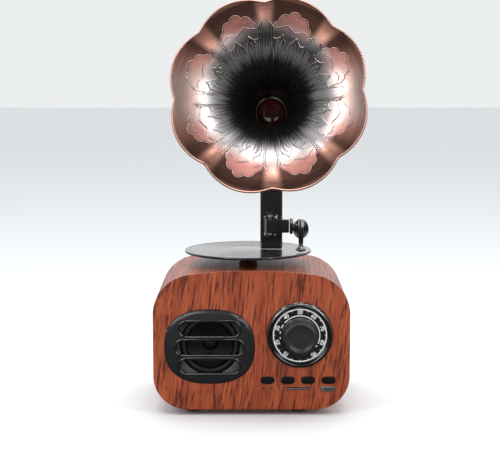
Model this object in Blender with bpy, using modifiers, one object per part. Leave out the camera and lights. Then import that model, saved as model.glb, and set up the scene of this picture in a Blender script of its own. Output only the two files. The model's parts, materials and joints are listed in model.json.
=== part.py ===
"""A small table loudspeaker dressed as a gramophone: a rounded wood-grain cabinet with a slotted grille,
a scale dial and four buttons, and on its top a record disc, a post, a tonearm and a flower horn.

Sizes are in millimetres and are turned into metres by the helpers. The cabinet's own axes are used
throughout: X to the right, Y to the back with 0 at the front face, and Z up from the surface that the feet
stand on. A front-facing piece is drawn flat in its local X and Y and rises towards the viewer in its local Z.
"""

from math import atan2, cos, degrees, pi, radians, sin, sqrt

import bmesh
import bpy
from mathutils import Matrix, Vector

MM = 0.001
GAP = 0.3  # between pieces that touch on the real object
UPRIGHT = (0, 0, 0)
UPSIDE_DOWN = (pi, 0, 0)
FACING_FRONT = (pi / 2, 0, 0)  # local Z turned to -Y
FACING_BACK = (-pi / 2, 0, 0)

# The frame's origin is under the middle of the whole object's box, in the cabinet's axes.
ORIGIN_X, ORIGIN_Y = 2.62, 21.91

# Cabinet
WIDTH, DEPTH, WALL = 106.2, 75.0, 2.5
BASE_Z, TOP_Z = 3.3, 79.3
LOW_CORNER, HIGH_CORNER, CROWN = 18.5, 22.0, 265.0  # radii of the outline's arcs
EDGE_ROUND = 1.5
COVER_THICK = 3.0
BOSS_RADIUS, BOSS_DEPTH, BOSS_INSET = 3.0, 19.0, 7.6

# Loudspeaker and its grille
GRILLE_X, GRILLE_Z, GRILLE_W, GRILLE_H, GRILLE_POWER = -22.6, 38.0, 48.3, 40.3, 2.45
GRILLE_PROUD, GRILLE_BACK, FLANGE_LIP = 0.9, 4.0, 1.8
SLOT_H, SLOT_PITCH, SLOT_DROP = 8.2, 10.2, 0.6
SLOT_WIDTHS = (32.7, 36.8, 32.7)
SPEAKER_FRAME, SPEAKER_HOLE = 40.0, 16.4

# Dial and knob
DIAL_X, DIAL_Z, DIAL_RADIUS, PLATE_RADIUS = 26.1, 44.3, 17.7, 14.7
KNOB_RADIUS, KNOB_SKIRT, KNOB_HEIGHT = 8.6, 9.9, 11.0
SHAFT_RADIUS = 2.9

# Buttons, sockets and boards
BUTTON_XS, BUTTON_Z, BUTTON_W, BUTTON_H = (8.7, 19.7, 30.6, 41.7), 19.5, 7.0, 3.5
BUTTON_NAMES = ("mode_button", "previous_button", "play_button", "next_button")
LED_X, MICROPHONE_X, PORT_Z = 6.4, 10.9, 15.1
CARD_X, CARD_W, CARD_H = 25.25, 13.4, 1.7
USB_X, USB_Z, USB_W, USB_H = 41.35, 14.6, 7.6, 2.5
BOARD_X, BOARD_W, BOARD_FRONT, BOARD_BACK, BOARD_TOP, BOARD_THICK = 24.5, 42.0, 3.2, 40.0, 12.9, 1.2
BOARD_SCREWS = ((7.5, 24.0), (33.0, 28.0))

# Battery
CELL_RADIUS, CELL_LENGTH, CELL_Y, CELL_Z = 9.1, 65.0, 57.0, 18.5

# Feet
FOOT_XS, FOOT_YS, FOOT_RADIUS = (-31.8, 26.0), (13.3, 61.7), 5.3

# Turntable, post and tonearm
TURNTABLE_X, TURNTABLE_Y, DISC_RADIUS, DISC_TOP, DISC_THICK = -1.9, 37.5, 35.5, 86.0, 1.4
PEDESTAL_RADIUS, BOLT_RADIUS = 5.2, 1.8
POST_X, POST_W, POST_FRONT, POST_THICK, POST_TOP = 11.2, 12.4, 36.5, 8.0, 173.0
PIVOT_X, PIVOT_Y, PIVOT_Z = 10.3, 30.0, 100.1
ARM_H, ARM_THICK, ARM_LENGTH, BARREL_RADIUS = 7.6, 4.2, 10.6, 2.9

# Horn. Distances along its axis start where the axis meets the post's front face.
HORN_Z, HORN_LIFT, HORN_YAW = 161.0, 12.4, -2.7
THROAT_AT, MOUTH_AT = 8.6, 58.0
THROAT_RADIUS, LOBE_RADIUS, VALLEY_RADIUS = 8.5, 51.2, 47.8
LOBES, HORN_ROLL, HORN_THICK = 8, 3.0, 1.0


# ---------------------------------------------------------------- scene, bodies and materials


def clear_scene():
    for obj in list(bpy.data.objects):
        bpy.data.objects.remove(obj)


def make_collection(name):
    collection = bpy.data.collections.new(name)
    bpy.context.scene.collection.children.link(collection)
    return collection


def material(name, colour, roughness, metallic=0.0):
    made = bpy.data.materials.new(name)
    made.use_nodes = True
    shader = made.node_tree.nodes["Principled BSDF"]
    shader.inputs["Base Color"].default_value = (*colour, 1.0)
    shader.inputs["Roughness"].default_value = roughness
    shader.inputs["Metallic"].default_value = metallic
    return made


def make_materials():
    return {
        "wood": material("wood", (0.40, 0.10, 0.045), 0.38),
        "black": material("black", (0.014, 0.015, 0.016), 0.42),
        "gloss": material("gloss", (0.010, 0.010, 0.011), 0.12),
        "print": material("print", (0.02, 0.02, 0.022), 0.5),
        "copper": material("copper", (0.55, 0.26, 0.19), 0.28, 1.0),
        "throat": material("throat", (0.03, 0.008, 0.006), 0.2),
        "steel": material("steel", (0.6, 0.6, 0.6), 0.3, 1.0),
        "board": material("board", (0.02, 0.12, 0.05), 0.5),
        "magnet": material("magnet", (0.06, 0.06, 0.065), 0.6, 0.6),
        "paper": material("paper", (0.03, 0.03, 0.03), 0.85),
        "rubber": material("rubber", (0.015, 0.015, 0.015), 0.8),
        "cell": material("cell", (0.05, 0.22, 0.42), 0.35),
        "wire": material("wire", (0.5, 0.02, 0.02), 0.45),
        "lens": material("lens", (0.5, 0.05, 0.03), 0.15),
    }


def body(name, at, parent=None, turn=UPRIGHT):
    """An empty on a joint's axis, at a place in its parent's axes. What moves together hangs from it."""
    empty = bpy.data.objects.new("axis_" + name, None)
    bpy.context.scene.collection.objects.link(empty)
    empty.parent = parent
    empty.location = Vector(at) * MM
    empty.rotation_euler = turn
    return empty


def place(obj, parent, look, at=(0, 0, 0), turn=UPRIGHT, smooth=True):
    obj.parent = parent
    obj.location = Vector(at) * MM
    obj.rotation_euler = turn
    obj.data.materials.clear()
    obj.data.materials.append(look)
    if smooth:
        obj.data.shade_smooth()
        obj.data.set_sharp_from_angle(angle=radians(35))
    return obj


def as_object(name, mesh):
    obj = bpy.data.objects.new(name, mesh)
    PART.objects.link(obj)
    return obj


def mesh_from(bm, name):
    mesh = bpy.data.meshes.new(name)
    bm.to_mesh(mesh)
    bm.free()
    return mesh


def baked(obj):
    """The object's evaluated mesh, in its own axes, with caps welded. The object itself is removed."""
    bpy.context.view_layer.update()
    graph = bpy.context.evaluated_depsgraph_get()
    mesh = bpy.data.meshes.new_from_object(obj.evaluated_get(graph))
    name = obj.name
    bpy.data.objects.remove(obj)
    bm = bmesh.new()
    bm.from_mesh(mesh)
    bmesh.ops.remove_doubles(bm, verts=bm.verts, dist=1e-6)
    bm.to_mesh(mesh)
    bm.free()
    mesh.name = name
    return mesh


# ---------------------------------------------------------------- shapes


def arc(centre, radius, start, end, steps):
    """Points on an arc, its angles in degrees, both ends included."""
    turn = [radians(start + (end - start) * i / steps) for i in range(steps + 1)]
    return [(centre[0] + radius * cos(a), centre[1] + radius * sin(a)) for a in turn]


def circle(x, y, radius, steps=24):
    return arc((x, y), radius, 0, 360, steps)[:-1]


def rectangle(x, y, width, height, corner=0.0, steps=3):
    """A rectangle about (x, y), its corners rounded where a radius is given."""
    w, h = width / 2 - corner, height / 2 - corner
    if not corner:
        return [(x + w, y - h), (x + w, y + h), (x - w, y + h), (x - w, y - h)]
    corners = ((w, -h, -90), (w, h, 0), (-w, h, 90), (-w, -h, 180))
    return [p for cx, cy, a in corners for p in arc((x + cx, y + cy), corner, a, a + 90, steps)]


def pill(x, y, width, height, steps=8):
    """A slot with round ends."""
    radius, reach = height / 2, (width - height) / 2
    return arc((x + reach, y), radius, -90, 90, steps) + arc((x - reach, y), radius, 90, 270, steps)


def squircle(x, y, width, height, power, steps=36):
    """A superellipse, the shape between an oval and a rounded rectangle."""
    points = []
    for i in range(steps):
        c, s = cos(2 * pi * i / steps), sin(2 * pi * i / steps)
        u = abs(c) ** (2 / power) * (1 if c >= 0 else -1)
        v = abs(s) ** (2 / power) * (1 if s >= 0 else -1)
        points.append((x + u * width / 2, y + v * height / 2))
    return points


def micro_usb(x, y, width, height):
    """The socket's outline, narrower along its lower edge."""
    w, h, chamfer = width / 2, height / 2, 0.9
    right = [(x + w - chamfer, y - h), (x + w, y - h + chamfer), (x + w, y + h)]
    return right + [(2 * x - px, py) for px, py in reversed(right)]


def cabinet_outline(inset=0.0):
    """The cabinet's front outline: two low corner arcs, two wider high ones and a slightly crowned top."""
    low_x, low_z = WIDTH / 2 - LOW_CORNER, BASE_Z + LOW_CORNER
    high_x = WIDTH / 2 - HIGH_CORNER
    crown_z = TOP_Z - CROWN
    rise = sqrt((CROWN - HIGH_CORNER) ** 2 - high_x**2)
    high_z = crown_z + rise
    lean = degrees(atan2(high_x, rise))
    low, high = LOW_CORNER - inset, HIGH_CORNER - inset
    half = arc((low_x, low_z), low, -90, 0, 7) + arc((high_x, high_z), high, 0, 90 - lean, 7)
    crown = arc((0, crown_z), CROWN - inset, 90 - lean, 90 + lean, 4)[1:-1]
    return half + crown + [(-x, z) for x, z in reversed(half)]


def outline_solid(name, loops, low, high):
    """Flat outlines, the inner ones holes, extruded between two heights."""
    curve = bpy.data.curves.new(name, "CURVE")
    curve.dimensions = "2D"
    curve.fill_mode = "BOTH"
    curve.extrude = (high - low) / 2 * MM
    for loop in loops:
        spline = curve.splines.new("POLY")
        spline.points.add(len(loop) - 1)
        for point, (x, y) in zip(spline.points, loop):
            point.co = (x * MM, y * MM, 0, 1)
        spline.use_cyclic_u = True
    obj = bpy.data.objects.new(name, curve)
    PART.objects.link(obj)
    mesh = baked(obj)
    mesh.transform(Matrix.Translation((0, 0, (low + high) / 2 * MM)))
    return as_object(name, mesh)


def turned(name, profile, steps=28, closed=False):
    """A profile of (radius, height) points turned about local Z with a Screw modifier."""
    bm = bmesh.new()
    points = [bm.verts.new((r * MM, 0, h * MM)) for r, h in profile]
    for a, b in zip(points, points[1:]):
        bm.edges.new((a, b))
    if closed:
        bm.edges.new((points[-1], points[0]))
    obj = as_object(name, mesh_from(bm, name))
    screw = obj.modifiers.new("turn", "SCREW")
    screw.steps = screw.render_steps = steps
    screw.use_merge_vertices = True
    screw.merge_threshold = 1e-5
    return as_object(name, baked(obj))


def cylinder(name, radius, low, high, steps=24):
    bm = bmesh.new()
    middle = Matrix.Translation((0, 0, (low + high) / 2 * MM))
    bmesh.ops.create_cone(
        bm, cap_ends=True, segments=steps, radius1=radius * MM, radius2=radius * MM,
        depth=(high - low) * MM, matrix=middle,
    )
    return as_object(name, mesh_from(bm, name))


def box(name, low, high):
    """A box between two corners."""
    bm = bmesh.new()
    bmesh.ops.create_cube(bm, size=1.0)
    size = [(b - a) * MM for a, b in zip(low, high)]
    middle = [(a + b) / 2 * MM for a, b in zip(low, high)]
    bmesh.ops.scale(bm, vec=size, verts=bm.verts)
    bmesh.ops.translate(bm, vec=middle, verts=bm.verts)
    return as_object(name, mesh_from(bm, name))


def rounded(obj, width, segments=2):
    """Bevels the sharp edges and makes the result the object's own mesh."""
    bevel = obj.modifiers.new("round", "BEVEL")
    bevel.width = width * MM
    bevel.segments = segments
    bevel.limit_method = "ANGLE"
    bevel.angle_limit = radians(40)
    return as_object(obj.name, baked(obj))


def combine(obj, other, operation):
    """One exact Boolean with a helper, which is then removed. Both are still in local axes."""
    boolean = obj.modifiers.new(operation.lower(), "BOOLEAN")
    boolean.operation = operation
    boolean.solver = "EXACT"
    boolean.object = other
    name = obj.name
    mesh = baked(obj)
    bpy.data.objects.remove(other)
    return as_object(name, mesh)


def cut(obj, cutter):
    return combine(obj, cutter, "DIFFERENCE")


def join(obj, addition):
    return combine(obj, addition, "UNION")


def at(x, y, z=0.0):
    return Matrix.Translation(Vector((x, y, z)) * MM)


def copies(name, prototype, parent, look, spots, turn):
    """Numbered objects at the given places, which share the prototype's mesh."""
    mesh = baked(prototype)
    for number, spot in enumerate(spots, 1):
        place(as_object(f"{name}_{number}", mesh), parent, look, spot, turn)


def screw(head, head_height, shank, length):
    """A pan-head screw: its head stands on local Z 0 and its shank runs down."""
    profile = [(0, head_height), (head * 0.8, head_height), (head, head_height * 0.5), (head, 0)]
    return turned("screw", [*profile, (shank, 0), (shank, -length), (0, -length)], steps=9)


def smooth_path(points, per_span=4):
    """A Catmull-Rom curve through the points."""
    ends = [points[0], *points, points[-1]]
    path = []
    for i in range(len(points) - 1):
        a, b, c, d = (Vector(p) for p in ends[i : i + 4])
        for k in range(per_span):
            t = k / per_span
            path.append(
                0.5 * (2 * b + (c - a) * t + (2 * a - 5 * b + 4 * c - d) * t**2
                       + (3 * b - a - 3 * c + d) * t**3)
            )
    return [*path, Vector(points[-1])]


def wire(name, route, radius):
    """An insulated wire along a smooth route."""
    curve = bpy.data.curves.new(name, "CURVE")
    curve.dimensions = "3D"
    curve.bevel_depth = radius * MM
    curve.bevel_resolution = 1
    curve.use_fill_caps = True
    path = smooth_path(route)
    spline = curve.splines.new("POLY")
    spline.points.add(len(path) - 1)
    for point, p in zip(spline.points, path):
        point.co = (*(p * MM), 1)
    obj = bpy.data.objects.new(name, curve)
    PART.objects.link(obj)
    return as_object(name, baked(obj))


# ---------------------------------------------------------------- cabinet


def boss_centres():
    """Where the rear cover's screws go, inside the four rounded corners."""
    reach = BOSS_INSET
    low = (WIDTH / 2 - LOW_CORNER + reach, BASE_Z + LOW_CORNER - reach)
    high = (WIDTH / 2 - HIGH_CORNER + reach + 2, TOP_Z - HIGH_CORNER + reach)
    return [(side * x, z) for x, z in (low, high) for side in (-1, 1)]


def boss_outline(x, z):
    """A round screw boss with a rib that runs out into the corner of the wall."""
    out = atan2(z - (BASE_Z + TOP_Z) / 2, x)
    side = 45 if z > 40 else -45
    away = radians(side if x > 0 else 180 - side)
    half_rib, reach = 1.1, 6.5
    spread = degrees(half_rib / BOSS_RADIUS)
    ring = arc((x, z), BOSS_RADIUS, degrees(away) + spread, degrees(away) + 360 - spread, 9)
    along, across = (cos(away), sin(away)), (-sin(away), cos(away))
    tip = [
        (x + along[0] * reach + across[0] * s, z + along[1] * reach + across[1] * s)
        for s in (-half_rib, half_rib)
    ]
    return ring + tip


def cabinet_shell(root, looks):
    back = -(DEPTH - COVER_THICK - 0.7)
    shell = rounded(outline_solid("cabinet_shell", [cabinet_outline()], -DEPTH, 0), EDGE_ROUND, 2)
    shell = cut(shell, outline_solid("cavity", [cabinet_outline(WALL)], -DEPTH - 5, -WALL))
    for x, z in boss_centres():
        loops = [boss_outline(x, z), circle(x, z, 1.25, 10)]
        shell = join(shell, outline_solid("boss", loops, back, back + BOSS_DEPTH))
    ports = [
        squircle(GRILLE_X, GRILLE_Z, GRILLE_W + 2 * GAP, GRILLE_H + 2 * GAP, GRILLE_POWER),
        circle(DIAL_X, DIAL_Z, DIAL_RADIUS + GAP, 36),
        *[pill(x, BUTTON_Z, BUTTON_W + 2 * GAP, BUTTON_H + 2 * GAP, 6) for x in BUTTON_XS],
        circle(LED_X, PORT_Z, 0.9, 10),
        circle(MICROPHONE_X, PORT_Z, 0.6, 8),
        rectangle(CARD_X, PORT_Z, CARD_W + 0.2, CARD_H),
        micro_usb(USB_X, USB_Z, USB_W + 0.7, USB_H + 0.7),
    ]
    shell = cut(shell, outline_solid("ports", ports, -WALL - 3, 3))
    lying = Matrix.Rotation(-pi / 2, 4, "X")
    hole = cylinder("bolt_hole", BOLT_RADIUS + 0.4, TOP_Z - 8, TOP_Z + 5, 16)
    hole.data.transform(lying @ at(TURNTABLE_X, TURNTABLE_Y))
    shell = cut(shell, hole)
    rest = BOARD_TOP - BOARD_THICK - GAP
    for x, y in BOARD_SCREWS:
        pipe = [(1.25, rest), (2.4, rest), (2.4, BASE_Z + 1), (1.25, BASE_Z + 1)]
        pillar = turned("pillar", pipe, 14, closed=True)
        pillar.data.transform(lying @ at(x, y))
        shell = join(shell, pillar)
    place(shell, root, looks["wood"], turn=FACING_FRONT)


def rear_cover(root, looks):
    holes = [circle(x, z, 1.35, 12) for x, z in boss_centres()]
    low, high = -(DEPTH - 0.4), -(DEPTH - 0.4 - COVER_THICK)
    cover = outline_solid("rear_cover", [cabinet_outline(WALL + GAP), *holes], low, high)
    seats = [circle(x, z, 2.4, 16) for x, z in boss_centres()]
    cover = cut(cover, outline_solid("seats", seats, low - 2, low + 1.5))
    place(cover, root, looks["black"], turn=FACING_FRONT)
    seat = DEPTH - 0.4 - 1.5 + GAP
    spots = [(x, seat, z) for x, z in boss_centres()]
    copies("cover_screw", screw(2.0, 1.1, 0.95, 9.0), root, looks["steel"], spots, FACING_BACK)


def feet(root, looks):
    top = BASE_Z - GAP
    profile = [(0, top), (4.9, top), (FOOT_RADIUS, 0.7), (FOOT_RADIUS - 0.5, 0), (0, 0)]
    for row, y in zip(("front", "rear"), FOOT_YS):
        for side, x in zip(("left", "right"), FOOT_XS):
            place(turned(f"foot_{row}_{side}", profile, 16), root, looks["rubber"], (x, y, 0))


# ---------------------------------------------------------------- loudspeaker


def grille(root, looks):
    def outline(grow):
        return squircle(GRILLE_X, GRILLE_Z, GRILLE_W + 2 * grow, GRILLE_H + 2 * grow, GRILLE_POWER)

    middle = GRILLE_Z - SLOT_DROP
    rows = (middle + SLOT_PITCH, middle, middle - SLOT_PITCH)
    slots = [pill(GRILLE_X, z, w, SLOT_H, 5) for z, w in zip(rows, SLOT_WIDTHS)]
    plate = outline_solid("speaker_grille", [outline(0), *slots], -GRILLE_BACK, GRILLE_PROUD)
    flange = outline_solid("flange", [outline(FLANGE_LIP), outline(-0.8)], -GRILLE_BACK - 0.2, -WALL - GAP)
    place(join(plate, flange), root, looks["black"], turn=FACING_FRONT)


def loudspeaker(root, looks):
    middle = (GRILLE_X, 0, GRILLE_Z)
    front = -GRILLE_BACK - 0.2 - GAP

    def add(obj, look):
        place(obj, root, looks[look], middle, FACING_FRONT)

    frame = [rectangle(0, 0, SPEAKER_FRAME, SPEAKER_FRAME, 6.0), circle(0, 0, SPEAKER_HOLE, 28)]
    add(outline_solid("speaker_frame", frame, front - 1.2, front), "steel")
    rim = front - 1.5
    outer = arc((14.4, rim), 1.7, 0, 180, 4)
    inner = arc((14.4, rim), 1.3, 180, 0, 4)
    add(turned("speaker_surround", outer[::-1] + inner[::-1], 20, closed=True), "rubber")
    cone = [
        (12.3, rim), (12.3, rim - 0.5), (4.6, rim - 5.7),
        (4.6, rim - 9.6), (4.1, rim - 9.6), (4.1, rim - 5.2),
    ]
    add(turned("speaker_cone", cone, closed=True), "paper")
    cap = [(0, rim - 2.8), (2.4, rim - 3.3), (3.7, rim - 5.0), (0, rim - 5.0)]
    add(turned("dust_cap", cap, 20), "paper")
    basket = [
        (18.2, front - 1.5), (18.2, front - 3.0), (10.5, front - 11.4), (5.0, front - 11.4),
        (5.0, front - 10.4), (9.9, front - 10.4), (17.2, front - 2.6), (17.2, front - 1.5),
    ]
    add(turned("speaker_basket", basket, 24, closed=True), "magnet")
    top, base = front - 11.7, front - 18.8
    magnet = [(0, top), (11.2, top), (11.6, top - 0.4), (11.6, base), (0, base)]
    add(turned("speaker_magnet", magnet, 24), "magnet")


# ---------------------------------------------------------------- dial, knob and buttons


def dial(root, looks):
    middle = (DIAL_X, 0, DIAL_Z)

    def add(obj, look, parent=root, place_at=middle):
        place(obj, parent, looks[look], place_at, FACING_FRONT)

    inner = PLATE_RADIUS + GAP
    bezel = [
        (16.3, 2.0), (17.2, 1.6), (DIAL_RADIUS, 0.8), (DIAL_RADIUS, -2.8), (19.4, -2.8), (19.4, -4.2),
        (12.0, -4.2), (12.0, -3.0), (inner, -3.0), (inner, 1.2), (inner + 0.5, 1.9),
    ]
    add(turned("dial_bezel", bezel, 32, closed=True), "black")
    plate = [(PLATE_RADIUS, 0.4), (PLATE_RADIUS, -2.7), (4.6, -2.7), (4.6, 0.4)]
    add(turned("dial_plate", plate, 32, closed=True), "print")
    bore = SHAFT_RADIUS + GAP
    encoder = [
        (0, -10.2), (bore, -10.2), (bore, 2.6), (4.2, 2.6),
        (4.2, -4.5), (8.0, -4.5), (8.0, -11.2), (0, -11.2),
    ]
    add(turned("volume_encoder", encoder, 24), "steel")
    hexagon = [circle(0, 0, 6.4, 6), circle(0, 0, 4.5, 16)]
    add(outline_solid("encoder_nut", hexagon, 0.7, 2.4), "steel")
    knob_axis = body("volume_knob", middle, root)
    knob = [
        (0, KNOB_HEIGHT - 0.5), (6.6, KNOB_HEIGHT - 0.4), (7.9, KNOB_HEIGHT), (8.4, KNOB_HEIGHT - 0.5),
        (KNOB_RADIUS, 3.3), (KNOB_SKIRT, 2.6), (KNOB_SKIRT, 1.0), (7.3, 1.0), (7.3, 4.5),
        (bore, 4.5), (bore, KNOB_HEIGHT - 2), (0, KNOB_HEIGHT - 2),
    ]
    add(turned("volume_knob", knob, 28), "black", knob_axis, (0, 0, 0))
    shaft = cylinder("encoder_shaft", SHAFT_RADIUS, -9.8, KNOB_HEIGHT - 2 - GAP, 20)
    add(shaft, "steel", knob_axis, (0, 0, 0))


def buttons(root, looks):
    """Four press buttons in their holes, each with a flange that stops it against the wall's inner face."""
    cap = outline_solid("button", [pill(0, 0, BUTTON_W, BUTTON_H, 6)], -WALL - GAP - 1.0, 0.7)
    flange = [pill(0, 0, BUTTON_W + 1.8, BUTTON_H + 1.8, 6)]
    cap = join(cap, outline_solid("flange", flange, -WALL - GAP - 1.2, -WALL - GAP))
    mesh = baked(cap)
    for name, x in zip(BUTTON_NAMES, BUTTON_XS):
        axis = body(name, (x, 0, BUTTON_Z), root)
        place(as_object(name, mesh.copy()), axis, looks["black"], turn=FACING_FRONT)


# ---------------------------------------------------------------- electronics


def boards(root, looks):
    middle_y = (BOARD_FRONT + BOARD_BACK) / 2
    sheet = [rectangle(BOARD_X, middle_y, BOARD_W, BOARD_BACK - BOARD_FRONT)]
    sheet += [circle(x, y, 1.25, 10) for x, y in BOARD_SCREWS]
    board = outline_solid("main_board", sheet, BOARD_TOP - BOARD_THICK, BOARD_TOP)
    place(board, root, looks["board"], smooth=False)
    tops = [(x, y, BOARD_TOP + GAP) for x, y in BOARD_SCREWS]
    copies("board_screw", screw(2.0, 1.1, 0.95, 5.0), root, looks["steel"], tops, UPRIGHT)

    switch_face = 9.5
    strip = box("button_board", (3.5, switch_face, 16.7), (47.5, switch_face + BOARD_THICK, 23.0))
    place(strip, root, looks["board"], smooth=False)
    switch = box("switch", (-2.2, -2.2, 0), (2.2, 2.2, 3.0))
    switch = join(switch, cylinder("plunger", 1.0, 2.5, 4.0, 12))
    spots = [(x, switch_face - GAP, BUTTON_Z) for x in BUTTON_XS]
    copies("tact_switch", switch, root, looks["black"], spots, FACING_FRONT)


def ports(root, looks):
    usb = outline_solid(
        "usb_socket",
        [micro_usb(USB_X, USB_Z, USB_W, USB_H), micro_usb(USB_X, USB_Z, USB_W - 0.8, USB_H - 0.8)],
        -6.6, -0.9,
    )
    tongue = outline_solid("tongue", [rectangle(USB_X, USB_Z + 0.35, 5.2, 0.5)], -6.3, -1.6)
    plug_back = outline_solid("back", [micro_usb(USB_X, USB_Z, USB_W - 0.4, USB_H - 0.4)], -6.6, -5.9)
    place(join(join(usb, plug_back), tongue), root, looks["steel"], turn=FACING_FRONT, smooth=False)
    card = [rectangle(CARD_X, PORT_Z - 0.3, CARD_W + 1.0, 2.9), rectangle(CARD_X, PORT_Z, CARD_W - 0.4, 1.3)]
    socket = outline_solid("card_socket", card, -17.0, -WALL - GAP)
    place(socket, root, looks["steel"], turn=FACING_FRONT, smooth=False)
    led = [(0, 0.1), (0.35, 0.05), (0.55, -0.2), (0.55, -5.4), (0, -5.4)]
    place(turned("status_led", led, 12), root, looks["lens"], (LED_X, 0, PORT_Z), FACING_FRONT)
    capsule = cylinder("microphone", 1.4, -5.2, -WALL - GAP, 16)
    place(capsule, root, looks["steel"], (MICROPHONE_X, 0, PORT_Z), FACING_FRONT)


def battery(root, looks):
    half = CELL_LENGTH / 2
    cell = [
        (0, half + 1.2), (2.6, half + 1.2), (2.6, half),
        (CELL_RADIUS - 0.8, half), (CELL_RADIUS, half - 0.8),
        (CELL_RADIUS, -half), (0, -half),
    ]
    along_x = (0, pi / 2, 0)
    place(turned("battery_cell", cell, 24), root, looks["cell"], (0, CELL_Y, CELL_Z), along_x)
    floor = BASE_Z + WALL + GAP
    cradle = box("battery_cradle", (-25, CELL_Y - 10.6, floor), (25, CELL_Y + 10.6, CELL_Z - 3.0))
    hollow = cylinder("hollow", CELL_RADIUS + GAP, -40, 40, 24)
    hollow.data.transform(at(0, CELL_Y, CELL_Z) @ Matrix.Rotation(pi / 2, 4, "Y"))
    place(cut(cradle, hollow), root, looks["black"])


def leads(root, looks):
    """Wires that run from the loudspeaker and from the battery to the board."""
    routes = {
        "speaker_lead": [(-9.5, 19, 27), (-4, 25, 22), (3, 29, 16.5), (9, 31, 14.6), (12.5, 31.5, 13.7)],
        "battery_lead": [(34.6, 56, 19), (38, 53, 19.5), (41, 46, 18), (39, 39, 15.5), (36, 34.5, 13.7)],
    }
    for name, route in routes.items():
        place(wire(name, route, 0.6), root, looks["wire"])


# ---------------------------------------------------------------- turntable, post and tonearm


def turntable(root, looks):
    axis = body("turntable", (TURNTABLE_X, TURNTABLE_Y, 0), root)
    post_x, post_y = POST_X - TURNTABLE_X, POST_FRONT + POST_THICK / 2 - TURNTABLE_Y
    disc_low = DISC_TOP - DISC_THICK
    fixings = [(post_x - 3.6, post_y), (post_x + 3.6, post_y)]

    disc = [
        (0, DISC_TOP), (DISC_RADIUS - 0.4, DISC_TOP), (DISC_RADIUS, DISC_TOP - 0.4),
        (DISC_RADIUS, disc_low + 0.3), (DISC_RADIUS - 0.3, disc_low), (0, disc_low),
    ]
    disc = turned("record_disc", disc, 40)
    for x, y in fixings:
        drill = cylinder("drill", 1.25, disc_low - 2, DISC_TOP + 2, 10)
        drill.data.transform(at(x, y))
        disc = cut(disc, drill)
    place(disc, axis, looks["gloss"])

    bore = BOLT_RADIUS + GAP
    stand = TOP_Z + GAP
    pedestal = [
        (0, disc_low - GAP), (PEDESTAL_RADIUS, disc_low - GAP), (PEDESTAL_RADIUS, stand), (bore, stand),
        (bore, disc_low - 1.0), (0, disc_low - 1.0),
    ]
    place(turned("pedestal", pedestal, 24), axis, looks["black"])
    head = TOP_Z - WALL - GAP
    bolt = [
        (0, disc_low - 1.3), (BOLT_RADIUS, disc_low - 1.3), (BOLT_RADIUS, head), (5.0, head),
        (5.0, head - 0.8), (3.4, head - 1.0), (3.4, head - 2.6), (0, head - 2.6),
    ]
    place(turned("swivel_bolt", bolt, 16), axis, looks["steel"])

    low = (post_x - POST_W / 2, post_y - POST_THICK / 2, DISC_TOP + GAP)
    high = (post_x + POST_W / 2, post_y + POST_THICK / 2, POST_TOP)
    post = rounded(box("horn_post", low, high), 0.8, 2)
    for x, y in fixings:
        drill = cylinder("drill", 1.25, DISC_TOP - 2, DISC_TOP + 8, 10)
        drill.data.transform(at(x, y))
        post = cut(post, drill)
    drill = cylinder("drill", 1.6, -POST_THICK, POST_THICK, 12)
    drill.data.transform(at(post_x, post_y, HORN_Z) @ Matrix.Rotation(pi / 2, 4, "X"))
    place(cut(post, drill), axis, looks["black"])
    spots = [(x, y, disc_low - GAP) for x, y in fixings]
    copies("post_screw", screw(2.0, 1.1, 0.95, 7.5), axis, looks["steel"], spots, UPSIDE_DOWN)
    return axis


def tonearm_bracket(turntable_axis, looks):
    """A plate on the post with two ears, which carry the tonearm's pin."""
    x, y = PIVOT_X - TURNTABLE_X, PIVOT_Y - TURNTABLE_Y
    plate_back = POST_FRONT - GAP - TURNTABLE_Y
    ear, half = 1.2, ARM_H / 2 + 1.7
    low = (x - 3.4, plate_back - 1.5, PIVOT_Z - half)
    high = (x + 4.4, plate_back, PIVOT_Z + half)
    bracket = box("tonearm_bracket", low, high)
    for base in (PIVOT_Z - half, PIVOT_Z + half - ear):
        outline = arc((x, y), 3.3, 180, 360, 10)
        outline += [(x + 3.3, plate_back - 0.7), (x - 3.3, plate_back - 0.7)]
        bracket = join(bracket, outline_solid("ear", [outline, circle(x, y, 1.2, 12)], base, base + ear))
    place(bracket, turntable_axis, looks["gloss"])
    reach = half + 0.5
    pin = [(0, reach), (1.6, reach), (1.6, half + GAP), (0.9, half + GAP), (0.9, -half), (0, -half)]
    place(turned("tonearm_pin", pin, 16), turntable_axis, looks["steel"], (x, y, PIVOT_Z))


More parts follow.
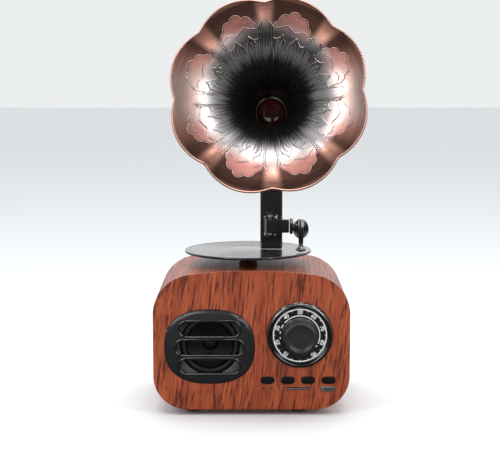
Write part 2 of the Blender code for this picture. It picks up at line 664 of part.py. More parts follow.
def tonearm(turntable_axis, looks):
    axis = body("tonearm", (PIVOT_X - TURNTABLE_X, PIVOT_Y - TURNTABLE_Y, PIVOT_Z), turntable_axis)

    def add(obj, look="gloss", place_at=(0, 0, 0), turn=UPRIGHT):
        place(obj, axis, looks[look], place_at, turn)

    half = ARM_H / 2
    bar = rounded(box("tonearm_bar", (0, -ARM_THICK / 2, -half), (ARM_LENGTH, ARM_THICK / 2, half)), 0.6, 2)
    bar = join(bar, cylinder("barrel", BARREL_RADIUS, -half - 0.1, half + 0.1, 20))
    add(cut(bar, cylinder("bore", 1.2, -8, 8, 12)))
    collar_x = ARM_LENGTH + GAP
    box_x, box_z = 17.0, -1.2
    low, high = (collar_x, -2.9, -half - 0.5), (collar_x + 1.8, 2.9, half + 0.5)
    collar = rounded(box("arm_collar", low, high), 0.5, 2)
    elbow = cylinder("elbow", 1.8, collar_x + 1.0, box_x - 0.4, 16)
    elbow.data.transform(Matrix.Rotation(pi / 2, 4, "Y"))
    add(join(collar, elbow))
    disc = [(0, 0.9), (3.2, 0.9), (4.1, 1.5), (5.0, 1.5), (5.5, 1.0), (5.5, -0.8), (4.6, -1.5), (0, -1.5)]
    shape = turned("soundbox", disc, 28)
    shape.data.transform(Matrix.Diagonal((0.8, 1.0, 1.0, 1.0)))
    add(shape, place_at=(box_x, -3.4, box_z), turn=FACING_FRONT)

    neck = box_z - 8.0
    foot = DISC_TOP + 0.4 - PIVOT_Z
    side = [(1.9, box_z + 4.9), (1.5, box_z - 2.0), (1.2, neck - 0.5)]
    outline = [(-x, z) for x, z in side] + side[::-1]
    lever = rounded(outline_solid("needle_lever", [outline], -0.9, 0.9), 0.4, 2)
    stylus = [
        (0, neck), (1.3, neck), (1.2, neck - 1.0),
        (2.9, foot + 1.8), (2.8, foot + 0.8), (1.2, foot), (0, foot),
    ]
    stylus = turned("stylus", stylus, 20)
    stylus.data.transform(Matrix.Rotation(-pi / 2, 4, "X"))
    add(join(lever, stylus), place_at=(box_x, -6.2, 0), turn=FACING_FRONT)


# ---------------------------------------------------------------- horn


def horn_radius(at_distance, turn):
    """The bell's inner radius at a distance along its axis and an angle in radians about it. Eight petals
    bulge between creases, and fade into a round throat."""
    share = min(1.0, max(0.0, (at_distance - THROAT_AT) / (MOUTH_AT - THROAT_AT)))
    flare = (1 - (1 - share) ** (1 / 1.6)) ** 2.1
    crease = (1 - VALLEY_RADIUS / LOBE_RADIUS) * flare**1.1
    petal = abs(sin(LOBES / 2 * turn)) ** 0.8
    return (THROAT_RADIUS + (LOBE_RADIUS - THROAT_RADIUS) * flare) * (1 - crease * (1 - petal))


def horn_bell(axis, looks):
    """The bell: a line of points spun about its axis, each point then set to its petal's radius."""
    rings, around = 9, 64
    heights = [THROAT_AT + (MOUTH_AT - THROAT_AT) * (1 - (1 - i / rings) ** 1.6) for i in range(rings + 1)]
    bm = bmesh.new()
    points = [bm.verts.new((1.0, 0, h)) for h in heights]
    edges = [bm.edges.new(pair) for pair in zip(points, points[1:])]
    bmesh.ops.spin(
        bm, geom=[*points, *edges], angle=2 * pi, steps=around, axis=(0, 0, 1), cent=(0, 0, 0),
        use_merge=True,
    )
    for vert in bm.verts:
        turn = atan2(vert.co.y, vert.co.x)
        radius = horn_radius(vert.co.z, turn - radians(HORN_ROLL + 90))
        vert.co = Vector((radius * cos(turn), radius * sin(turn), vert.co.z)) * MM
    bm.normal_update()
    face = next(iter(bm.faces))
    outward = face.calc_center_median().xy.dot(face.normal.xy) > 0
    bmesh.ops.reverse_faces(bm, faces=[] if outward else bm.faces)
    bell = as_object("horn_bell", mesh_from(bm, "horn_bell"))
    wall = bell.modifiers.new("thickness", "SOLIDIFY")
    wall.thickness = HORN_THICK * MM
    wall.offset = 1
    wall.use_even_offset = True
    place(as_object("horn_bell", baked(bell)), axis, looks["copper"])


def horn(turntable_axis, looks):
    """The horn's axis leaves the post's front face and rises towards the viewer. The socket is fixed to the
    post, and the horn's neck turns in it."""
    start = (POST_X - TURNTABLE_X, POST_FRONT - TURNTABLE_Y, HORN_Z)
    aim = (radians(90 - HORN_LIFT), 0, radians(HORN_YAW))
    seat = body("horn_socket", start, turntable_axis, aim)
    socket = [(0, 1.6), (6.5, 1.6), (6.5, 6.0), (9.0, 6.0), (9.0, -5.0), (0, -5.0)]
    socket = turned("horn_socket", socket, 28)
    slab = box("post_side", (-30, 0, -30), (30, 30, 30))
    aimed = Matrix.Rotation(aim[2], 4, "Z") @ Matrix.Rotation(aim[0], 4, "X")
    slab.data.transform(aimed.inverted() @ at(0, -GAP, 0))
    socket = cut(socket, slab)
    place(socket, seat, looks["black"])

    bolt_back = POST_FRONT + POST_THICK + GAP - TURNTABLE_Y
    fixing = as_object("socket_screw", baked(screw(2.6, 1.5, 1.25, POST_THICK)))
    place(fixing, turntable_axis, looks["steel"], (start[0], bolt_back, HORN_Z), FACING_BACK)

    axis = body("horn", start, turntable_axis, aim)
    ferrule = [
        (0, 8.2), (9.8, 8.2), (9.8, 13.0), (10.9, 12.6), (10.9, 7.4),
        (10.2, 6.4), (6.2, 6.4), (6.2, 1.9), (0, 1.9),
    ]
    place(turned("horn_neck", ferrule, 24), axis, looks["gloss"])
    plug = [(0, 10.6), (3.4, 10.3), (6.3, 9.6), (7.9, 8.5), (0, 8.5)]
    place(turned("throat_plug", plug, 24), axis, looks["throat"])
    horn_bell(axis, looks)


def build():
    looks = make_materials()
    root = body("cabinet", (-ORIGIN_X, -ORIGIN_Y, 0))
    cabinet_shell(root, looks)
    rear_cover(root, looks)
    feet(root, looks)
    grille(root, looks)
    loudspeaker(root, looks)
    dial(root, looks)
    buttons(root, looks)
    boards(root, looks)
    ports(root, looks)
    battery(root, looks)
    leads(root, looks)
    axis = turntable(root, looks)
    tonearm_bracket(axis, looks)
    tonearm(axis, looks)
    horn(axis, looks)


clear_scene()
PART = make_collection("gramophone_loudspeaker")
build()
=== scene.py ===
"""The looks of a small table loudspeaker in gramophone form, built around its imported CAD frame.

Lengths in this script are millimetres unless a comment says otherwise, and the mesh helpers turn them into
metres. A piece that faces the front is drawn in its local X (right) and Y (up) and rises towards the viewer in
its local Z. Places come from the frame's boxes and joints.
"""

import json
from math import atan2, cos, degrees, pi, radians, sin, sqrt

import bmesh
import bpy
from mathutils import Matrix, Vector

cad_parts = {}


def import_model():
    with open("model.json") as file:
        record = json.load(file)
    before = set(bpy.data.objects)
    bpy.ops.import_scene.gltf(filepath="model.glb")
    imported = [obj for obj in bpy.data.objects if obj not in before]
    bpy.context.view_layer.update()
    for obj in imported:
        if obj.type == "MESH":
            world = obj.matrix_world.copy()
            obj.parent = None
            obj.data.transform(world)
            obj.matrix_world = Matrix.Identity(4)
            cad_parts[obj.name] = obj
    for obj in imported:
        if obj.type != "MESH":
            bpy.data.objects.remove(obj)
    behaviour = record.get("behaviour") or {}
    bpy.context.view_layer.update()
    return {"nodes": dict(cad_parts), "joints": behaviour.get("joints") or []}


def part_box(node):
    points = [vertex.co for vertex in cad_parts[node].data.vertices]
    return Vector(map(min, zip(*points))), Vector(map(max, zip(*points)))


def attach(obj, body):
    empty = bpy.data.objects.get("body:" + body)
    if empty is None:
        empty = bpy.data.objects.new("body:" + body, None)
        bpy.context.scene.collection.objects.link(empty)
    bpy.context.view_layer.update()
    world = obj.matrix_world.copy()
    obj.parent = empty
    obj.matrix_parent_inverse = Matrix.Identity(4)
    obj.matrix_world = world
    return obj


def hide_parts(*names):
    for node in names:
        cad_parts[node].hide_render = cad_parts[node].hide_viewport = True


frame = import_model()

MM = 0.001
UPRIGHT = Matrix.Identity(3)
FACING_FRONT = Matrix.Rotation(pi / 2, 3, "X")
FACING_BACK = Matrix.Rotation(-pi / 2, 3, "X")
TO_THE_BACK = Matrix.Rotation(pi, 3, "Z") @ FACING_FRONT
UPSIDE_DOWN = Matrix.Rotation(pi, 3, "X")

# Cabinet outline: two low corner arcs, two wider high ones and a crowned top
LOW_CORNER, HIGH_CORNER, CROWN, WALL = 18.5, 22.0, 265.0, 2.5
EDGE_ROUND = 1.5

# Grille
SLOT_H, SLOT_PITCH, SLOT_DROP = 8.2, 10.2, 0.6
SLOT_WIDTHS = (32.7, 36.8, 32.7)
GRILLE_POWER, GRILLE_PROUD, GRILLE_CROWN, LIP_RADIUS = 2.45, 0.9, 0.55, 0.75

# Dial: radii of the printed rings and numbers
RING_RADIUS, ARC_RADIUS, NUMBER_RADIUS, NUMBER_HEIGHT = 14.3, 10.7, 12.5, 2.15
KNOB_RADIUS, KNOB_SKIRT, KNOB_HEIGHT = 8.6, 9.9, 11.0

# Horn, measured along its axis from the post's front face
THROAT_AT, MOUTH_AT = 8.6, 58.0
THROAT_RADIUS, LOBE_RADIUS, VALLEY_RADIUS = 8.5, 51.2, 47.8
LOBES, HORN_ROLL, HORN_THICK = 8, 3.0, 1.0

# Where the horn's finish changes, as distances in metres from its axis
LACQUER_EDGE, COPPER_EDGE = (0.0205, 0.0310), (0.0315, 0.0420)
PATINA_EDGE, RIM_WEAR = (0.0335, 0.0405), (0.0492, 0.0512)

# Camera: its distance in front of the cabinet, height and offset to the left, tilt down in degrees, and lens
CAMERA_AWAY, CAMERA_HEIGHT, CAMERA_LEFT = 675.0, 185.0, 0.8
CAMERA_TILT, SENSOR_WIDTH, LENS = 7.26, 36.0, 91.9

# What a part's flange hides behind the shell on each side together, and the gap round a part in its hole
FLANGE, HOLE_GAP = 1.8, 0.6
BUTTONS = ("mode_button", "previous_button", "play_button", "next_button")


# ---------------------------------------------------------------- places from the frame


def corners(node):
    """A CAD node's lowest and highest corners in millimetres."""
    low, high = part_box(node)
    return low / MM, high / MM


def middle(node):
    low, high = corners(node)
    return (low + high) / 2


def joint(name):
    """A joint's place in millimetres and its axis."""
    found = next(j for j in frame["joints"] if j["name"] == name)
    return Vector(found["pos_m"]) / MM, Vector(found["axis"]).normalized()


CABINET_LOW, CABINET_HIGH = corners("cabinet_shell")
WIDTH, DEPTH = CABINET_HIGH.x - CABINET_LOW.x, CABINET_HIGH.y - CABINET_LOW.y
BASE_Z, TOP_Z = CABINET_LOW.z, CABINET_HIGH.z
CENTRE_X, FRONT_Y = (CABINET_LOW.x + CABINET_HIGH.x) / 2, CABINET_LOW.y


# ---------------------------------------------------------------- pieces


def finish_piece(obj, body, look, replaces=(), smooth=35):
    """Gives a piece its material and smooth shading, and lets it ride on its body."""
    obj.data.materials.clear()
    obj.data.materials.append(LOOKS[look])
    if smooth and obj.type == "MESH":
        obj.data.shade_smooth()
        obj.data.set_sharp_from_angle(angle=radians(smooth))
    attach(obj, body)
    if replaces:
        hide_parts(*replaces)
    return obj


def stand(obj, place, turn=UPRIGHT):
    obj.matrix_world = Matrix.Translation(Vector(place) * MM) @ turn.to_4x4()
    return obj


def put(obj, place, turn, body, look, replaces=(), smooth=35):
    return finish_piece(stand(obj, place, turn), body, look, replaces, smooth)


def as_object(name, data):
    obj = bpy.data.objects.new(name, data)
    bpy.context.scene.collection.objects.link(obj)
    return obj


def mesh_from(bm, name):
    mesh = bpy.data.meshes.new(name)
    bm.to_mesh(mesh)
    bm.free()
    return mesh


def baked(obj):
    """The object's evaluated mesh in its own axes, welded. The object is removed."""
    bpy.context.view_layer.update()
    graph = bpy.context.evaluated_depsgraph_get()
    mesh = bpy.data.meshes.new_from_object(obj.evaluated_get(graph))
    name = obj.name
    bpy.data.objects.remove(obj)
    bm = bmesh.new()
    bm.from_mesh(mesh)
    bmesh.ops.remove_doubles(bm, verts=bm.verts, dist=1e-6)
    bm.to_mesh(mesh)
    bm.free()
    mesh.name = name
    return mesh


def applied(obj):
    return as_object(obj.name, baked(obj))


# ---------------------------------------------------------------- shapes


def arc(centre, radius, start, end, steps):
    turn = [radians(start + (end - start) * i / steps) for i in range(steps + 1)]
    return [(centre[0] + radius * cos(a), centre[1] + radius * sin(a)) for a in turn]


def circle(x, y, radius, steps=64):
    return arc((x, y), radius, 0, 360, steps)[:-1]


def rectangle(x, y, width, height, corner=0.3, steps=5):
    w, h = width / 2 - corner, height / 2 - corner
    turns = ((w, -h, -90), (w, h, 0), (-w, h, 90), (-w, -h, 180))
    return [p for cx, cy, a in turns for p in arc((x + cx, y + cy), corner, a, a + 90, steps)]


def pill(x, y, width, height, steps=20):
    radius, reach = height / 2, (width - height) / 2
    return arc((x + reach, y), radius, -90, 90, steps) + arc((x - reach, y), radius, 90, 270, steps)


def squircle(x, y, width, height, power, steps=128):
    points = []
    for i in range(steps):
        c, s = cos(2 * pi * i / steps), sin(2 * pi * i / steps)
        u = abs(c) ** (2 / power) * (1 if c >= 0 else -1)
        v = abs(s) ** (2 / power) * (1 if s >= 0 else -1)
        points.append((x + u * width / 2, y + v * height / 2))
    return points


def micro_usb(x, y, width, height):
    w, h, chamfer = width / 2, height / 2, 0.9
    right = [(x + w - chamfer, y - h), (x + w, y - h + chamfer), (x + w, y + h)]
    return right + [(2 * x - px, py) for px, py in reversed(right)]


def cabinet_outline(inset=0.0):
    """The cabinet's front outline, about its centre line and with the floor at 0."""
    low_x, low_z = WIDTH / 2 - LOW_CORNER, BASE_Z + LOW_CORNER
    high_x = WIDTH / 2 - HIGH_CORNER
    crown_z = TOP_Z - CROWN
    rise = sqrt((CROWN - HIGH_CORNER) ** 2 - high_x**2)
    lean = degrees(atan2(high_x, rise))
    low, high = LOW_CORNER - inset, HIGH_CORNER - inset
    half = arc((low_x, low_z), low, -90, 0, 24) + arc((high_x, crown_z + rise), high, 0, 90 - lean, 28)
    crown = arc((0, crown_z), CROWN - inset, 90 - lean, 90 + lean, 16)[1:-1]
    return half + crown + [(-x, z) for x, z in reversed(half)]


def outline_solid(name, loops, low, high):
    """Flat outlines, the inner ones holes, extruded between two heights."""
    curve = bpy.data.curves.new(name, "CURVE")
    curve.dimensions = "2D"
    curve.fill_mode = "BOTH"
    curve.extrude = (high - low) / 2 * MM
    for loop in loops:
        spline = curve.splines.new("POLY")
        spline.points.add(len(loop) - 1)
        for point, (x, y) in zip(spline.points, loop):
            point.co = (x * MM, y * MM, 0, 1)
        spline.use_cyclic_u = True
    mesh = baked(as_object(name, curve))
    mesh.transform(Matrix.Translation((0, 0, (low + high) / 2 * MM)))
    return as_object(name, mesh)


def turned(name, profile, steps=96, closed=False):
    """A profile of (radius, height) points turned about local Z."""
    bm = bmesh.new()
    points = [bm.verts.new((r * MM, 0, h * MM)) for r, h in profile]
    for a, b in zip(points, points[1:]):
        bm.edges.new((a, b))
    if closed:
        bm.edges.new((points[-1], points[0]))
    obj = as_object(name, mesh_from(bm, name))
    screw = obj.modifiers.new("turn", "SCREW")
    screw.steps = screw.render_steps = steps
    screw.use_merge_vertices = True
    screw.merge_threshold = 1e-5
    return applied(obj)


def softened(points, radius, steps=4):
    """A polyline whose inner corners are rounded, for turned profiles."""
    result = [points[0]]
    for before, here, after in zip(points, points[1:], points[2:]):
        here = Vector(here)
        back, on = Vector(before) - here, Vector(after) - here
        reach = min(radius, back.length * 0.45, on.length * 0.45)
        start, end = here + back.normalized() * reach, here + on.normalized() * reach
        for k in range(steps + 1):
            t = k / steps
            result.append(tuple(start * (1 - t) ** 2 + here * 2 * t * (1 - t) + end * t**2))
    return [*result, points[-1]]


def cylinder(name, radius, low, high, steps=48):
    bm = bmesh.new()
    spot = Matrix.Translation((0, 0, (low + high) / 2 * MM))
    bmesh.ops.create_cone(
        bm, cap_ends=True, segments=steps, radius1=radius * MM, radius2=radius * MM,
        depth=(high - low) * MM, matrix=spot,
    )
    return as_object(name, mesh_from(bm, name))


def block(name, low, high):
    bm = bmesh.new()
    bmesh.ops.create_cube(bm, size=1.0)
    bmesh.ops.scale(bm, vec=[(b - a) * MM for a, b in zip(low, high)], verts=bm.verts)
    bmesh.ops.translate(bm, vec=[(a + b) / 2 * MM for a, b in zip(low, high)], verts=bm.verts)
    return as_object(name, mesh_from(bm, name))


def rounded(obj, width, segments=3, angle=40):
    bevel = obj.modifiers.new("round", "BEVEL")
    bevel.width = width * MM
    bevel.segments = segments
    bevel.limit_method = "ANGLE"
    bevel.angle_limit = radians(angle)
    return applied(obj)


def combine(obj, other, operation):
    boolean = obj.modifiers.new(operation.lower(), "BOOLEAN")
    boolean.operation = operation
    boolean.solver = "EXACT"
    boolean.object = other
    name = obj.name
    mesh = baked(obj)
    bpy.data.objects.remove(other)
    mesh.name = name
    return as_object(name, mesh)


def cut(obj, cutter):
    return combine(obj, cutter, "DIFFERENCE")


def join(obj, addition):
    return combine(obj, addition, "UNION")


def even_shading(obj):
    """Keeps large flat faces flat where they meet a rounded edge."""
    weighted = obj.modifiers.new("even", "WEIGHTED_NORMAL")
    weighted.keep_sharp = True
    weighted.weight = 100
    return obj


def moved(obj, x=0.0, y=0.0, z=0.0, turn=UPRIGHT):
    obj.data.transform(Matrix.Translation(Vector((x, y, z)) * MM) @ turn.to_4x4())
    return obj


def tubes(name, paths, radius, sides=2, thin_at=None):
    """Thin round strands along paths of points. Open ones taper at their ends. They thin out towards local Z
    within the distance thin_at of it."""
    curve = bpy.data.curves.new(name, "CURVE")
    curve.dimensions = "3D"
    curve.bevel_depth = radius * MM
    curve.bevel_resolution = sides
    curve.use_fill_caps = True
    for path, closed in paths:
        spline = curve.splines.new("POLY")
        spline.points.add(len(path) - 1)
        for i, (point, p) in enumerate(zip(spline.points, path)):
            point.co = (*(Vector(p) * MM), 1)
            end = min(i, len(path) - 1 - i)
            point.radius = 1.0 if closed else min(1.0, 0.35 + 0.3 * end)
            if thin_at:
                point.radius *= min(1.0, max(0.35, Vector(p).xy.length / thin_at))
        spline.use_cyclic_u = closed
    return applied(as_object(name, curve))


def smooth_path(points, per_span=6):
    """A Catmull-Rom curve through the points."""
    ends = [points[0], *points, points[-1]]
    path = []
    for i in range(len(points) - 1):
        a, b, c, d = (Vector(p) for p in ends[i : i + 4])
        for k in range(per_span):
            t = k / per_span
            curve = 2 * b + (c - a) * t + (2 * a - 5 * b + 4 * c - d) * t**2
            path.append((curve + (3 * b - a - 3 * c + d) * t**3) / 2)
    return [*path, Vector(points[-1])]


# ---------------------------------------------------------------- materials


class Nodes:
    """Short ways to add nodes to a material's or the world's node tree."""

    def __init__(self, tree):
        self.nodes, self.links = tree.nodes, tree.links

    def feed(self, socket, value):
        if isinstance(value, bpy.types.NodeSocket):
            self.links.new(value, socket)
        else:
            socket.default_value = value

    def node(self, kind, inputs=None, **settings):
        made = self.nodes.new("ShaderNode" + kind)
        for key, value in settings.items():
            setattr(made, key, value)
        for key, value in (inputs or {}).items():
            self.feed(made.inputs[key], value)
        return made

    def math(self, operation, *values):
        return self.node("Math", dict(enumerate(values)), operation=operation).outputs[0]

    def times(self, a, b):
        return self.math("MULTIPLY", a, b)

    def plus(self, a, b):
        return self.math("ADD", a, b)

    def minus(self, a, b):
        return self.math("SUBTRACT", a, b)

    def place(self, kind="Object"):
        return self.node("TexCoord").outputs[kind]

    def parts(self, vector):
        return self.node("SeparateXYZ", {"Vector": vector}).outputs

    def vector(self, x, y=0.0):
        return self.node("CombineXYZ", {"X": x, "Y": y}).outputs[0]

    def scaled(self, vector, scale):
        return self.node("VectorMath", {0: vector, 1: scale}, operation="MULTIPLY").outputs[0]

    def noise(self, vector, scale=1.0, detail=3.0, roughness=0.5, distortion=0.0):
        inputs = {"Vector": vector, "Scale": scale, "Detail": detail, "Roughness": roughness,
                  "Distortion": distortion}
        return self.node("TexNoise", inputs).outputs["Fac"]

    def ramp(self, value, stops):
        """stops: (place, colour)."""
        made = self.node("ValToRGB", {"Fac": value})
        elements = made.color_ramp.elements
        while len(elements) < len(stops):
            elements.new(0.5)
        for element, (place, colour) in zip(elements, stops):
            element.position = place
            element.color = (*colour, 1.0)
        return made.outputs["Color"]

    def span(self, value, low, high, to_low=0.0, to_high=1.0, smooth=False):
        """A value's range from low to high turned into another range, held at its ends."""
        kind = "SMOOTHSTEP" if smooth else "LINEAR"
        inputs = {0: value, 1: low, 2: high, 3: to_low, 4: to_high}
        return self.node("MapRange", inputs, interpolation_type=kind).outputs[0]

    def mix(self, factor, a, b):
        """Colour a where the factor is 0, colour b where it is 1."""
        made = self.node("Mix", data_type="RGBA")
        for socket, value in (("Factor_Float", factor), ("A_Color", a), ("B_Color", b)):
            target = next(i for i in made.inputs if i.identifier == socket)
            self.feed(target, (*value, 1.0) if isinstance(value, tuple) else value)
        return next(o for o in made.outputs if o.identifier == "Result_Color")


class Look(Nodes):
    """A material with a Principled shader."""

    def __init__(self, name, colour=None, roughness=0.5, metallic=0.0):
        self.material = bpy.data.materials.new(name)
        self.material.use_nodes = True
        super().__init__(self.material.node_tree)
        self.shader = self.nodes["Principled BSDF"]
        if colour:
            self.set("Base Color", (*colour, 1.0))
        self.set("Roughness", roughness)
        self.set("Metallic", metallic)

    def set(self, socket, value):
        self.feed(self.shader.inputs[socket], value)

    def bump(self, height, depth, strength=1.0):
        inputs = {"Height": height, "Distance": depth * MM, "Strength": strength}
        self.set("Normal", self.node("Bump", inputs).outputs["Normal"])


def plastic(name, colour, roughness, grain=0.02, coat=0.0, coat_ior=1.5, variation=0.12):
    """Moulded plastic: a faint mottle in colour and gloss, and a fine moulded grain."""
    look = Look(name, colour, roughness)
    place = look.place()
    cloud = look.noise(place, 90, 4, 0.6)
    dark = tuple(c * (1 - variation) for c in colour)
    light = tuple(c * (1 + variation) + 0.002 for c in colour)
    look.set("Base Color", look.ramp(cloud, [(0.3, dark), (0.7, light)]))
    look.set("Roughness", look.span(cloud, 0.3, 0.7, roughness * 0.85, roughness * 1.15))
    look.bump(look.noise(place, 1600, 2, 0.5), grain * 0.06, 0.5)
    look.set("Coat Weight", coat)
    look.set("Coat Roughness", 0.09)
    look.set("Coat IOR", coat_ior)
    return look.material


def metal(name, colour, roughness, brush=(1, 1, 30)):
    """Plated metal with a faint directional brushing."""
    look = Look(name, colour, roughness, 1.0)
    place = look.scaled(look.place(), tuple(260.0 * b for b in brush))
    lines = look.noise(place, 1.0, 4, 0.6)
    look.set("Roughness", look.span(lines, 0.3, 0.7, roughness * 0.75, roughness * 1.25))
    look.bump(lines, 0.01)
    return look.material


def wood_look():
    """Rosewood-patterned film under a thin clear coat. The grain follows the piece's grain map, in metres:
    dark wavy streaks, broad light and dark bands, and fine pores. The streaks are calmer where the film wraps
    round the sides. A pale pink band along the upper front edge is a painted highlight."""
    deep_red, red, light_red = (0.225, 0.034, 0.010), (0.335, 0.058, 0.015), (0.43, 0.088, 0.024)
    streak_brown, pore_brown = (0.080, 0.010, 0.004), (0.100, 0.012, 0.005)
    # The pale pink is the colour of a painted highlight on the upper front edge.
    fleck, edge_highlight_pink = (0.50, 0.130, 0.048), (0.78, 0.42, 0.30)
    look = Look("rosewood_film", roughness=0.42)
    grain = look.node("UVMap", uv_map="grain").outputs["UV"]
    wander = look.noise(look.scaled(grain, (18.0, 9.0, 1.0)), 1.0, 2, 0.5)
    across, along, _ = look.parts(grain)
    bend = look.times(look.minus(wander, 0.5), 0.011)
    lean = look.times(along, -0.11)
    place = look.vector(look.plus(look.plus(across, bend), lean), along)

    streaks = look.noise(look.scaled(place, (860.0, 62.0, 1.0)), 1.0, 4, 0.60, 0.35)
    fine = look.noise(look.scaled(place, (1700.0, 120.0, 1.0)), 1.0, 3, 0.55, 0.2)
    bands = look.noise(look.scaled(place, (150.0, 13.0, 1.0)), 1.0, 4, 0.55)
    clusters = look.noise(look.scaled(place, (120.0, 22.0, 1.0)), 1.0, 2, 0.5)
    _, height, depth = look.parts(look.place())
    wrapped = look.span(depth, -0.0012, -0.0050, smooth=True)
    body = look.ramp(bands, [(0.32, deep_red), (0.48, red), (0.66, light_red)])
    edge = look.span(clusters, 0.35, 0.65, 0.575, 0.485)
    dark = look.span(look.minus(streaks, edge), 0.0, 0.07, smooth=True)
    dark = look.times(dark, look.minus(0.85, look.times(wrapped, 0.35)))
    colour = look.mix(dark, body, streak_brown)
    light = look.span(streaks, 0.42, 0.33, smooth=True)
    colour = look.mix(look.times(light, 0.30), colour, fleck)
    pore = look.span(fine, 0.52, 0.64)
    colour = look.mix(look.times(pore, 0.50), colour, pore_brown)
    # Painted highlight: a pale pink band just behind the front face, on its upper part, where the rounded
    # front edge would catch the light.
    painted_edge_highlight = look.times(look.span(depth, 0.0, -0.0005), look.span(depth, -0.0014, -0.0006))
    upper = look.span(height, 0.062, 0.084, smooth=True)
    colour = look.mix(look.times(look.times(painted_edge_highlight, upper), 0.75), colour, edge_highlight_pink)
    look.set("Base Color", colour)
    look.set("Roughness", look.span(streaks, 0.3, 0.7, 0.36, 0.50))
    look.bump(look.plus(look.times(streaks, -0.6), look.times(pore, -0.4)), 0.04, 0.6)
    look.set("Specular IOR Level", 0.35)
    look.set("Coat Weight", 0.22)
    look.set("Coat Roughness", 0.20)
    return look.material


def polar(look):
    """Distance in metres from local Z, angle in radians about it, and the local X and Y."""
    x, y, _ = look.parts(look.place())
    radius = look.math("SQRT", look.plus(look.math("POWER", x, 2.0), look.math("POWER", y, 2.0)))
    return radius, look.math("ARCTAN2", y, x), x, y


def record_look():
    """Gloss black vinyl with concentric grooves."""
    look = Look("record_gloss", (0.012, 0.012, 0.013), 0.13)
    radius = polar(look)[0]
    grooves = look.noise(look.vector(look.times(radius, 2600.0)), 1.0, 2, 0.5)
    look.bump(grooves, 0.012, 0.5)
    look.set("Roughness", look.span(grooves, 0.3, 0.7, 0.10, 0.17))
    look.set("Coat Weight", 0.5)
    look.set("Coat Roughness", 0.04)
    return look.material


# The horn's colours: bare metal, copper from low to high, patina (partly painted shade) and its share, and the
# lacquer's grey level
HORN_COLOURS = {
    "bell": (
        (0.42, 0.41, 0.415), (0.52, 0.225, 0.165), (0.78, 0.41, 0.32), (0.045, 0.022, 0.018), 1.0, 0.006,
    ),
    "ground": (
        (0.62, 0.54, 0.53), (0.56, 0.29, 0.25), (0.74, 0.43, 0.37), (0.36, 0.135, 0.110), 0.85, 0.010,
    ),
    "relief": (
        (0.85, 0.77, 0.74), (0.80, 0.52, 0.44), (0.90, 0.68, 0.60), (0.75, 0.46, 0.38), 0.70, 0.03,
    ),
    "groove": (
        (0.07, 0.06, 0.06), (0.05, 0.02, 0.016), (0.07, 0.03, 0.025), (0.02, 0.01, 0.01), 0.80, 0.004,
    ),
}


def horn_look(name, part):
    """Antique copper: black lacquer from the throat outwards with a soft streaky edge, bare grey metal in the
    middle, and copper towards the rim with dark patina inside each petal, made heavier on the upper and lower
    petals as painted shade. The left and right petals carry less patina and a painted reflection in pale
    copper.
    The relief is polished and lighter."""
    grey, low_copper, high_copper, dark, amount, black = HORN_COLOURS[part]
    look = Look(name, roughness=0.3, metallic=1.0)
    radius, angle, x, y = polar(look)
    around = look.vector(x, y)
    unit = look.node("VectorMath", {0: around}, operation="NORMALIZE").outputs[0]
    slow, fast = look.scaled(around, (30.0, 30.0, 0.0)), look.scaled(unit, (30.0, 30.0, 1.0))
    streak_place = look.node("VectorMath", {0: fast, 1: slow}, operation="ADD").outputs[0]
    streaks = look.noise(streak_place, 1.0, 5, 0.65)
    rings = look.noise(look.vector(look.times(radius, 2400.0), look.times(angle, 1.6)), 1.0, 4, 0.65)
    cloud = look.noise(look.place(), 70, 3, 0.5)

    turned_by = look.times(look.minus(angle, radians(HORN_ROLL)), LOBES / 2)
    petal = look.math("ABSOLUTE", look.math("SINE", turned_by))
    sideways = look.math("ABSOLUTE", look.math("SINE", angle))
    ragged = look.plus(radius, look.times(look.minus(streaks, 0.5), 0.017))
    open_metal = look.span(ragged, *LACQUER_EDGE, smooth=True)
    cloudy = look.plus(radius, look.times(look.minus(cloud, 0.5), 0.012))
    copper_in = look.span(cloudy, *COPPER_EDGE, smooth=True)
    in_petal = look.span(petal, 0.12, 0.52, smooth=True)
    patina_and_painted_shade = look.times(in_petal, look.span(cloudy, *PATINA_EDGE, smooth=True))
    patina_and_painted_shade = look.times(patina_and_painted_shade, look.span(rings, 0.25, 0.70, 1.0, 0.88))
    patina_and_painted_shade = look.times(patina_and_painted_shade, look.span(radius, *RIM_WEAR, 1.0, 0.4))
    # Painted shade: the patina is cut to a tenth on the left and right petals, so the upper and lower petals
    # come out darker.
    patina_and_painted_shade = look.times(patina_and_painted_shade, look.span(sideways, 0.26, 0.60, 0.10, 1.0, smooth=True))

    colour = look.mix(copper_in, grey, look.mix(rings, low_copper, high_copper))
    # Painted reflection: the left and right petals are mixed towards pale copper, standing in for the side
    # lamps seen in them.
    painted_side_reflection = look.times(look.times(look.span(sideways, 0.42, 0.14, smooth=True), copper_in), 0.65)
    colour = look.mix(painted_side_reflection, colour, tuple((c + 1.1) / 2.1 for c in high_copper))
    colour = look.mix(look.times(patina_and_painted_shade, amount), colour, dark)
    look.set("Base Color", look.mix(open_metal, (black, black, black), colour))
    look.set("Metallic", look.span(open_metal, 0.0, 1.0, 0.2, 1.0))
    look.set("Roughness", look.plus(look.span(rings, 0.3, 0.7, 0.25, 0.36), look.times(patina_and_painted_shade, 0.10)))
    near = look.minus(1.0, copper_in)
    look.bump(look.plus(look.times(rings, copper_in), look.times(streaks, near)), 0.03, 0.5)
    return look.material


def flat_print(name, colour):
    look = Look(name, colour, 0.45)
    tone = look.noise(look.place(), 300, 2, 0.5)
    look.set("Base Color", look.ramp(tone, [(0.3, tuple(0.9 * c for c in colour)), (0.7, colour)]))
    return look.material


